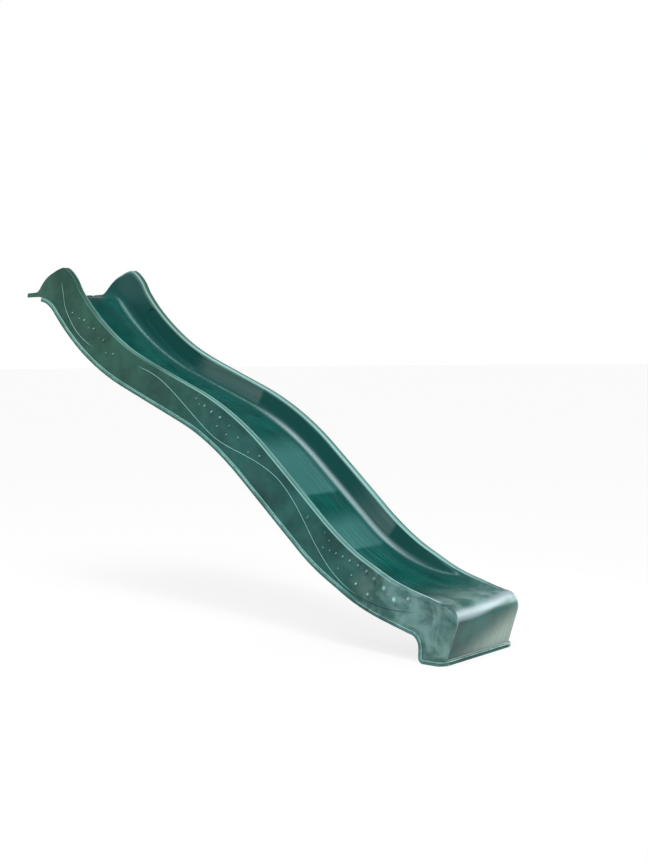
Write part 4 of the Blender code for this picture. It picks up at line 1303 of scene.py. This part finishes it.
class SLIDE_OT_chute(bpy.types.Operator):
    """Build the moulded chute: shell, hook, cross ribs and the holes for its fixings"""

    bl_idname = "slide.chute"
    bl_label = "Chute"

    def execute(self, context):
        obj = chute_shell()
        for tool, operation in ((webs(), "UNION"), (cuts(), "DIFFERENCE")):
            modifier = obj.modifiers.new(tool.name, "BOOLEAN")
            modifier.operation = operation
            modifier.solver = "EXACT"
            modifier.object = tool
        settle(obj, chute_finish(), ["slide_chute"])
        if not obj.data.polygons:
            raise RuntimeError("the chute has no faces")
        return {"FINISHED"}


def on_wall(station, depth, lift):
    """Points this far off the left side wall, square to it."""
    xz = FLOOR.square_to(station, rise(station) - depth)
    slope = FLOOR.at(station)[2]
    y = wall_out(station, depth) + lift * math.cos(OUTER_DRAFT)
    up = lift * math.sin(OUTER_DRAFT)
    return np.stack((xz[..., 0] + up * np.sin(slope), y, xz[..., 1] + up * np.cos(slope)), axis=-1)


def wave_mesh(sizes):
    """The wave: a cosine ridge carried along its line on the wall, thinning out at both ends.

    Across the ridge the height is half a cosine period to the power of 1.5, and the ribbon's back lies inside
    the wall. With the points and faces come each point's place along the floor and 1 plus its share of the
    crest's height.
    """
    station = np.linspace(WAVE_START, WAVE_END, 720)
    places, depths = zip(*WAVE_NODES)
    depth = smooth_through(places, depths, station)
    tangent = np.stack((np.gradient(station), np.gradient(depth)), axis=1)
    tangent /= np.linalg.norm(tangent, axis=1)[:, None]
    size = smoothstep(WAVE_START, WAVE_START + WAVE_TAPERS[0], station)
    size = size * (1 - smoothstep(WAVE_END - WAVE_TAPERS[1], WAVE_END, station))
    faint = smoothstep(*FAINT_BEGINS, station) * (1 - smoothstep(*FAINT_STOPS, station))
    tall = sizes.wave_height * (0.06 + 0.94 * size) * (1 - FAINT_SHARE * faint)
    wide = sizes.wave_width / 2 * (0.15 + 0.85 * size)
    across = np.linspace(-1, 1, 9)
    lift = np.concatenate((np.cos(np.pi / 2 * across) ** 1.5, [-1.0, -1.0]))[None, :]
    across = np.concatenate((across, [1.0, -1.0]))[None, :]
    edge_sunk, back_sunk = 0.0001, 0.0008
    raised = np.where(lift > -0.5, tall[:, None] * lift - edge_sunk, -back_sunk)
    s = station[:, None] - across * wide[:, None] * tangent[:, 1:]
    d = depth[:, None] + across * wide[:, None] * tangent[:, :1]
    points = on_wall(s, d, raised)
    rows, count = s.shape
    first_end, last_end = range(count), range((rows - 1) * count, rows * count)
    faces = ring_faces(rows, count) + [list(reversed(first_end)), list(last_end)]
    crest = np.clip(raised / sizes.wave_height, 0, 1)
    return points.reshape(-1, 3), faces, np.stack((s, 1 + crest), axis=-1).reshape(-1, 2)


def bubble_mesh(station, depth, radius, height):
    """A bubble: a low dome whose height falls with the distance from its middle to the power of 2.4.

    Its back lies inside the wall. With the points and faces come each point's place along the floor and 3
    plus its share of the painted highlight, a disc a little above the middle with a soft edge.
    """
    rings = np.array([0.0, 0.22, 0.42, 0.60, 0.76, 0.89, 0.97, 1.0, 1.0, 0.0])[:, None]
    dome_rings, facets, sunk = 8, 28, 0.0006
    lift = np.where(np.arange(len(rings))[:, None] < dome_rings, height * (1 - rings**2.4), -sunk)
    angle = 2 * np.pi * np.arange(facets)[None, :] / facets
    over, up = rings * np.cos(angle), rings * np.sin(angle)
    points = on_wall(station + radius * over, depth - radius * up, lift + 0 * angle)
    from_spot = np.hypot(over, up - 0.35) / 0.45
    highlight_spot = 3 + np.clip(1.5 - from_spot, 0, 1)
    places = np.stack((station + 0 * highlight_spot, highlight_spot), axis=-1)
    return points.reshape(-1, 3), ring_faces(len(rings), facets), places.reshape(-1, 2)


class SLIDE_OT_relief(bpy.types.Operator):
    """Build the raised wave and bubbles on both side walls"""

    bl_idname = "slide.relief"
    bl_label = "Wave and bubbles"

    def execute(self, context):
        sizes = context.scene.wave_slide.sizes
        meshes = [wave_mesh(sizes)]
        for station, depth, radius in BUBBLES:
            meshes.append(bubble_mesh(station, depth, radius, radius * sizes.bubble_height))
        for name, side in SIDES:
            turned_over = [(points * (1, side, 1), faces, places) for points, faces, places in meshes]
            obj = joined(f"relief_{name}", turned_over)
            settle(obj, chute_finish(), [])
        return {"FINISHED"}


def threaded(low, high, core, crest, pitch, facets=TURN_FACETS):
    """Radius and height grids of a threaded bar.

    The radius follows a triangle wave of the height and of the angle together, so its crest is a helix, and
    it runs out to the core at both ends.
    """
    rows = math.ceil((high - low) / pitch * ROWS_PER_TURN)
    height = np.linspace(low, high, rows + 1)[:, None] * np.ones((1, facets))
    turn = np.arange(facets)[None, :] / facets
    phase = (height / pitch - turn) % 1.0
    tooth = np.clip(1.35 * (1 - np.abs(2 * phase - 1)), 0, 1)
    fade = smoothstep(low, low + pitch, height) * (1 - smoothstep(high - pitch, high, height))
    return core + (crest - core) * tooth * fade, height


def stacked(*parts):
    """Radius and height grids one below the other."""
    return np.vstack([part[0] for part in parts]), np.vstack([part[1] for part in parts])


def hex_radius(flat, facets):
    """The radius at every angle of a hexagon with this distance from its middle to a flat."""
    angle = 2 * np.pi * np.arange(facets) / facets
    return flat / np.cos((angle + np.pi / 6) % (np.pi / 3) - np.pi / 6)


class SLIDE_OT_screws(bpy.types.Operator):
    """Build the two screws that hold the flange to the platform"""

    bl_idname = "slide.screws"
    bl_label = "Platform screws"

    def execute(self, context):
        pitch = context.scene.wave_slide.sizes.screw_pitch
        facets, socket_flat, head_radius, shank_radius = 60, 0.0020, 0.0060, 0.0030
        seat = CUP_FLOOR + 2 * FIT_GAP
        top = seat + SCREW_HEAD_HEIGHT
        tip, cone_start, cone_end, thread_end = (seat - length for length in (0.050, 0.049, 0.042, 0.012))
        point = [(0.0, tip), (0.0006, tip + 0.0005)]
        cone = threaded(cone_start, cone_end, 0.0015, 0.0028, pitch, facets)
        thread = threaded(cone_end, thread_end, 0.0022, shank_radius, pitch, facets)
        shank = [(0.0026, thread_end + 0.0005), (shank_radius, thread_end + 0.001)]
        shank += [(shank_radius, seat - 0.002), (shank_radius, seat)]
        head = [(head_radius - 0.0002, seat), (head_radius, seat + 0.0003)]
        head += [(head_radius, top - 0.0019), (0.0057, top - 0.0010), (0.0049, top - 0.0004), (0.0036, top)]
        socket = hex_radius(socket_flat, facets)
        recess = np.stack((socket, socket * 0.97, socket * 0.97, 0 * socket))
        recess_height = top - np.array([[0.0], [0.0002], [0.0020], [0.0022]]) * np.ones((1, facets))
        shank_and_head = profile_rows(shank + head, facets)
        rings = stacked(profile_rows(point, facets), cone, thread, shank_and_head, (recess, recess_height))
        for name, side in SIDES:
            obj = joined(f"screw_{name}", [ring_mesh(*rings, screw_place(side))])
            settle(obj, finish_of("zinc_plated_steel"), [f"deck_screw_{name}"])
        return {"FINISHED"}


class SLIDE_OT_caps(bpy.types.Operator):
    """Build the cup under each screw head and the snap-on lid over it"""

    bl_idname = "slide.caps"
    bl_label = "Screw caps"

    def execute(self, context):
        outer, inner, hole = 0.0110, 0.0096, 0.0033
        low, floor, top = FIT_GAP, FIT_GAP + CUP_FLOOR, FIT_GAP + CUP_HEIGHT
        cup = [
            (hole, low + 0.0002),
            (hole + 0.0002, low),
            (outer - 0.0003, low),
            (outer, low + 0.0003),
            (outer, top - 0.0003),
            (outer - 0.0003, top),
            (inner + 0.0002, top),
            (inner, top - 0.0002),
            (inner, floor + 0.0004),
            (inner - 0.0004, floor),
            (hole + 0.0002, floor),
            (hole, floor - 0.0002),
        ]
        skirt, wall, dome_rise = outer + FIT_GAP, 0.0012, 0.0025
        edge = skirt + wall
        ceiling = CUP_FLOOR + SCREW_HEAD_HEIGHT + 3 * FIT_GAP
        # The lid's top is a superellipse: its radius follows the cosine to the power of 0.55.
        turn = np.linspace(0, np.pi / 2, 14)
        dome = np.column_stack((edge * np.cos(turn) ** 0.55, ceiling + dome_rise * np.sin(turn)))
        lid = [(0.0, ceiling), (skirt - 0.0004, ceiling), (skirt, ceiling - 0.0004), (skirt, low + 0.0003)]
        lid += [(skirt + 0.0003, low), (edge - 0.0003, low), (edge, low + 0.0003)]
        lid = np.vstack((lid, dome[:-1], [(0.0, ceiling + dome_rise)]))
        for name, side in SIDES:
            for part, profile, closed in (("seat", cup, True), ("lid", lid, False)):
                rings = ring_mesh(*profile_rows(profile), screw_place(side), closed)
                obj = joined(f"cap_{part}_piece_{name}", [rings])
                settle(obj, finish_of("cap_polyethylene"), [f"cap_{part}_{name}"])
        return {"FINISHED"}


class SLIDE_OT_connector(bpy.types.Operator):
    """Build the hose connector, its rubber ring and its lock nut"""

    bl_idname = "slide.connector"
    bl_label = "Hose connector"

    def execute(self, context):
        pitch = context.scene.wave_slide.sizes.inlet_pitch
        place = inlet_frame()
        bore, flange, shank, neck, nipple = 0.0045, 0.0160, 0.0102, 0.0068, 0.0084
        seat = FIT_GAP - seat_depth()
        shank_end = seat - 0.026
        neck_end = shank_end - 0.006
        end = neck_end - 0.014
        edge, dome_rise, dome_inner = seat + 0.0012, 0.0012, 0.0075
        turn = np.linspace(0, np.pi / 2, 9)
        dome_radius = dome_inner + (flange - dome_inner) * np.cos(turn)
        dome = np.column_stack((dome_radius, edge + dome_rise * np.sin(turn)))
        low = [(bore, end + 0.0005), (bore + 0.0005, end), (nipple - 0.0015, end)]
        for barb in (0.0035, 0.0075):
            low += [(nipple, end + barb), (nipple - 0.0011, end + barb + 0.0005)]
        low += [(nipple, end + 0.0115), (nipple, neck_end), (neck, neck_end + 0.0002)]
        low += [(neck, shank_end), (shank - 0.0012, shank_end)]
        thread = threaded(shank_end + 0.0008, seat - 0.0012, shank - 0.0009, shank, pitch)
        high = [(shank - 0.0006, seat - 0.0006), (shank - 0.0006, seat), (flange - 0.0002, seat)]
        high += [(flange, seat + 0.0002)] + dome.tolist()
        high += [(bore + 0.0006, edge + dome_rise), (bore, edge + 0.0006)]
        rings = stacked(profile_rows(low), thread, profile_rows(high))
        obj = joined("hose_inlet_piece", [ring_mesh(*rings, place, closed=True)])
        settle(obj, finish_of("black_nylon"), ["hose_inlet"])

        # The rubber ring lies just under the floor's curved underside.
        inside, outside, gasket = 0.0105, 0.0150, 0.0020
        top = math.sqrt((BROW_RADIUS - WALL) ** 2 - outside**2) - BROW_RADIUS - 2 * FIT_GAP
        low = top - gasket
        ring = [(inside, low + 0.0003), (inside + 0.0003, low), (outside - 0.0005, low)]
        ring += [(outside, low + 0.0005), (outside, top - 0.0005), (outside - 0.0005, top)]
        ring += [(inside + 0.0003, top), (inside, top - 0.0003)]
        obj = joined("inlet_gasket_piece", [ring_mesh(*profile_rows(ring), place, closed=True)])
        settle(obj, finish_of("black_epdm_rubber"), ["inlet_gasket"])

        # The nut's hexagon is turned off round at its corners, and both ends are alike.
        nut_height, facets, corner_radius = 0.007, 96, 0.0160
        high = low - FIT_GAP
        low = high - nut_height
        outline = hex_radius(outside, facets)
        round_edge = np.minimum(outline, corner_radius)
        rows = [0 * outline + inside, 0 * outline + inside + 0.0006, round_edge - 0.0004, outline]
        levels = [low + 0.0006, low, low, low + 0.0010]
        rows += rows[::-1]
        levels += [high + low - level for level in levels[::-1]]
        heights = np.array(levels)[:, None] * np.ones((1, facets))
        obj = joined("inlet_nut_piece", [ring_mesh(np.array(rows), heights, place, closed=True)])
        settle(obj, finish_of("black_nylon"), ["inlet_lock_nut"], smooth_angle=25.0)
        return {"FINISHED"}


def soft_light(name, place, target, size, power):
    """A soft oblong lamp at this place that faces its target and doesn't show in the picture."""
    data = bpy.data.lights.new(name, "AREA")
    data.shape, data.size, data.size_y, data.energy = "RECTANGLE", *size, power
    lamp = bpy.data.objects.new(name, data)
    lamp.location = place
    aim = Vector(target) - Vector(place)
    lamp.rotation_euler = aim.to_track_quat("-Z", "Y").to_euler()
    lamp.visible_camera = False
    bpy.context.scene.collection.objects.link(lamp)


def sky_light(name, place, angle, strength):
    """A wide even lamp, far away in this direction, that looks this many degrees across."""
    data = bpy.data.lights.new(name, "SUN")
    data.energy, data.angle = strength, math.radians(angle)
    lamp = bpy.data.objects.new(name, data)
    lamp.rotation_euler = Vector(place).to_track_quat("Z", "Y").to_euler()
    bpy.context.scene.collection.objects.link(lamp)


def studio_floor():
    """The pale floor: a disc of rings that widen with the square of their number, closed at its middle."""
    rings = 60.0 * np.linspace(0, 1, 12)[:, None] ** 2 * np.ones((1, 96))
    points, faces = ring_mesh(rings, 0 * rings - 0.0005, Matrix.Identity(4))
    return link_mesh("studio_floor", points, [face[::-1] for face in faces])


def seen_rays(tree):
    """The light path, and 1 on the rays that look at a thing: from the camera, a gloss or a clear surface."""
    rays = add_node(tree, "ShaderNodeLightPath")
    seen = (rays, "Is Camera Ray")
    for kind in ("Is Glossy Ray", "Is Transmission Ray"):
        seen = (add_node(tree, "ShaderNodeMath", {0: seen, 1: (rays, kind)}, operation="MAXIMUM"), 0)
    return rays, seen


def floor_paper():
    """Seamless white backdrop paper: matt and even, nearly white in the picture, and it keeps the shadow."""
    values = {"Base Color": linear("#fafaf8"), "Roughness": 0.9, "Specular IOR Level": 0.1}
    material, tree, shader = start_material("seamless_paper", values)
    _, seen = seen_rays(tree)
    share = add_node(tree, "ShaderNodeMath", {0: seen}, {1: 0.80}, operation="MULTIPLY")
    white = add_node(tree, "ShaderNodeEmission", values={"Color": (1, 1, 1, 1), "Strength": 1.0})
    mix = add_node(tree, "ShaderNodeMixShader", {0: (share, 0), 1: (shader, "BSDF"), 2: (white, "Emission")})
    tree.links.new(mix.outputs[0], tree.nodes["Material Output"].inputs["Surface"])
    return material


class SLIDE_OT_stage(bpy.types.Operator):
    """Set up the floor, the soft light and the camera"""

    bl_idname = "slide.stage"
    bl_label = "Studio"

    def execute(self, context):
        scene, studio = context.scene, context.scene.wave_slide.studio
        floor = studio_floor()
        floor.data.materials.append(floor_paper())
        floor.data.shade_smooth()

        world = bpy.data.worlds.new("studio_light")
        world.use_nodes = True
        tree = world.node_tree
        rays, seen = seen_rays(tree)
        levels = {"To Min": studio.fill_strength, "To Max": 1.0}
        strength = add_node(tree, "ShaderNodeMapRange", {"Value": seen}, levels)
        direction = add_node(tree, "ShaderNodeTexCoord")
        height = add_node(tree, "ShaderNodeSeparateXYZ", {"Vector": (direction, "Generated")})
        backdrop = add_node(
            tree,
            "ShaderNodeMapRange",
            {"Value": (height, "Z")},
            dict(zip(RANGE_ENDS, (*BACKDROP_END, 1.0, studio.ceiling_strength))),
            interpolation_type="SMOOTHSTEP",
        )
        sides = {"Factor": (rays, "Is Glossy Ray"), "A": (strength, 0), "B": (backdrop, 0)}
        strength = add_node(tree, "ShaderNodeMix", sides)
        background = tree.nodes["Background"]
        background.inputs["Color"].default_value = (1, 1, 1, 1)
        tree.links.new(strength.outputs[0], background.inputs["Strength"])
        scene.world = world

        sky_light("key_light", *KEY_LIGHT, studio.key_strength)
        soft_light("strip_light", *STRIP_LIGHT, studio.strip_power)
        soft_light("exit_light", *EXIT_LIGHT, studio.exit_power)

        data = bpy.data.cameras.new("camera")
        data.lens, data.sensor_width, data.clip_start, data.clip_end = studio.lens, 36.0, 0.05, 100.0
        camera = bpy.data.objects.new("camera", data)
        turn, tilt, roll = studio.azimuth, studio.pitch, studio.roll
        level = math.cos(tilt)
        ahead = Vector((-math.sin(turn) * level, math.cos(turn) * level, -math.sin(tilt)))
        right = Vector((math.cos(turn), math.sin(turn), 0.0))
        down = ahead.cross(right)
        rolled_right = right * math.cos(roll) + down * math.sin(roll)
        rolled_down = down * math.cos(roll) - right * math.sin(roll)
        axes = Matrix((rolled_right, -rolled_down, -ahead)).transposed().to_4x4()
        camera.matrix_world = Matrix.Translation(studio.camera_place) @ axes
        scene.collection.objects.link(camera)
        scene.camera = camera
        scene.view_settings.view_transform = "Standard"
        return {"FINISHED"}


class SLIDE_PT_panel(bpy.types.Panel):
    """Steps and settings of the wave slide"""

    bl_label = "Wave slide"
    bl_idname = "SLIDE_PT_panel"
    bl_space_type = "VIEW_3D"
    bl_region_type = "UI"
    bl_category = "Slide"

    def draw(self, context):
        settings = context.scene.wave_slide
        for operator in OPERATORS:
            self.layout.operator(operator.bl_idname)
        for group in (settings.look, settings.sizes, settings.studio):
            box = self.layout.box()
            for name in group.bl_rna.properties.keys():
                if name not in ("rna_type", "name"):
                    box.prop(group, name)


OPERATORS = (
    SLIDE_OT_chute,
    SLIDE_OT_relief,
    SLIDE_OT_screws,
    SLIDE_OT_caps,
    SLIDE_OT_connector,
    SLIDE_OT_stage,
)
CLASSES = (SlideLook, SlideSizes, SlideStudio, SlideSettings, *OPERATORS, SLIDE_PT_panel)


def register():
    for cls in CLASSES:
        bpy.utils.register_class(cls)
    bpy.types.Scene.wave_slide = PointerProperty(type=SlideSettings)


def unregister():
    del bpy.types.Scene.wave_slide
    for cls in reversed(CLASSES):
        bpy.utils.unregister_class(cls)


def main():
    """Build every piece and the stage."""
    register()
    bpy.ops.slide.chute()
    bpy.ops.slide.relief()
    bpy.ops.slide.screws()
    bpy.ops.slide.caps()
    bpy.ops.slide.connector()
    bpy.ops.slide.stage()


if __name__ == "__main__":
    main()
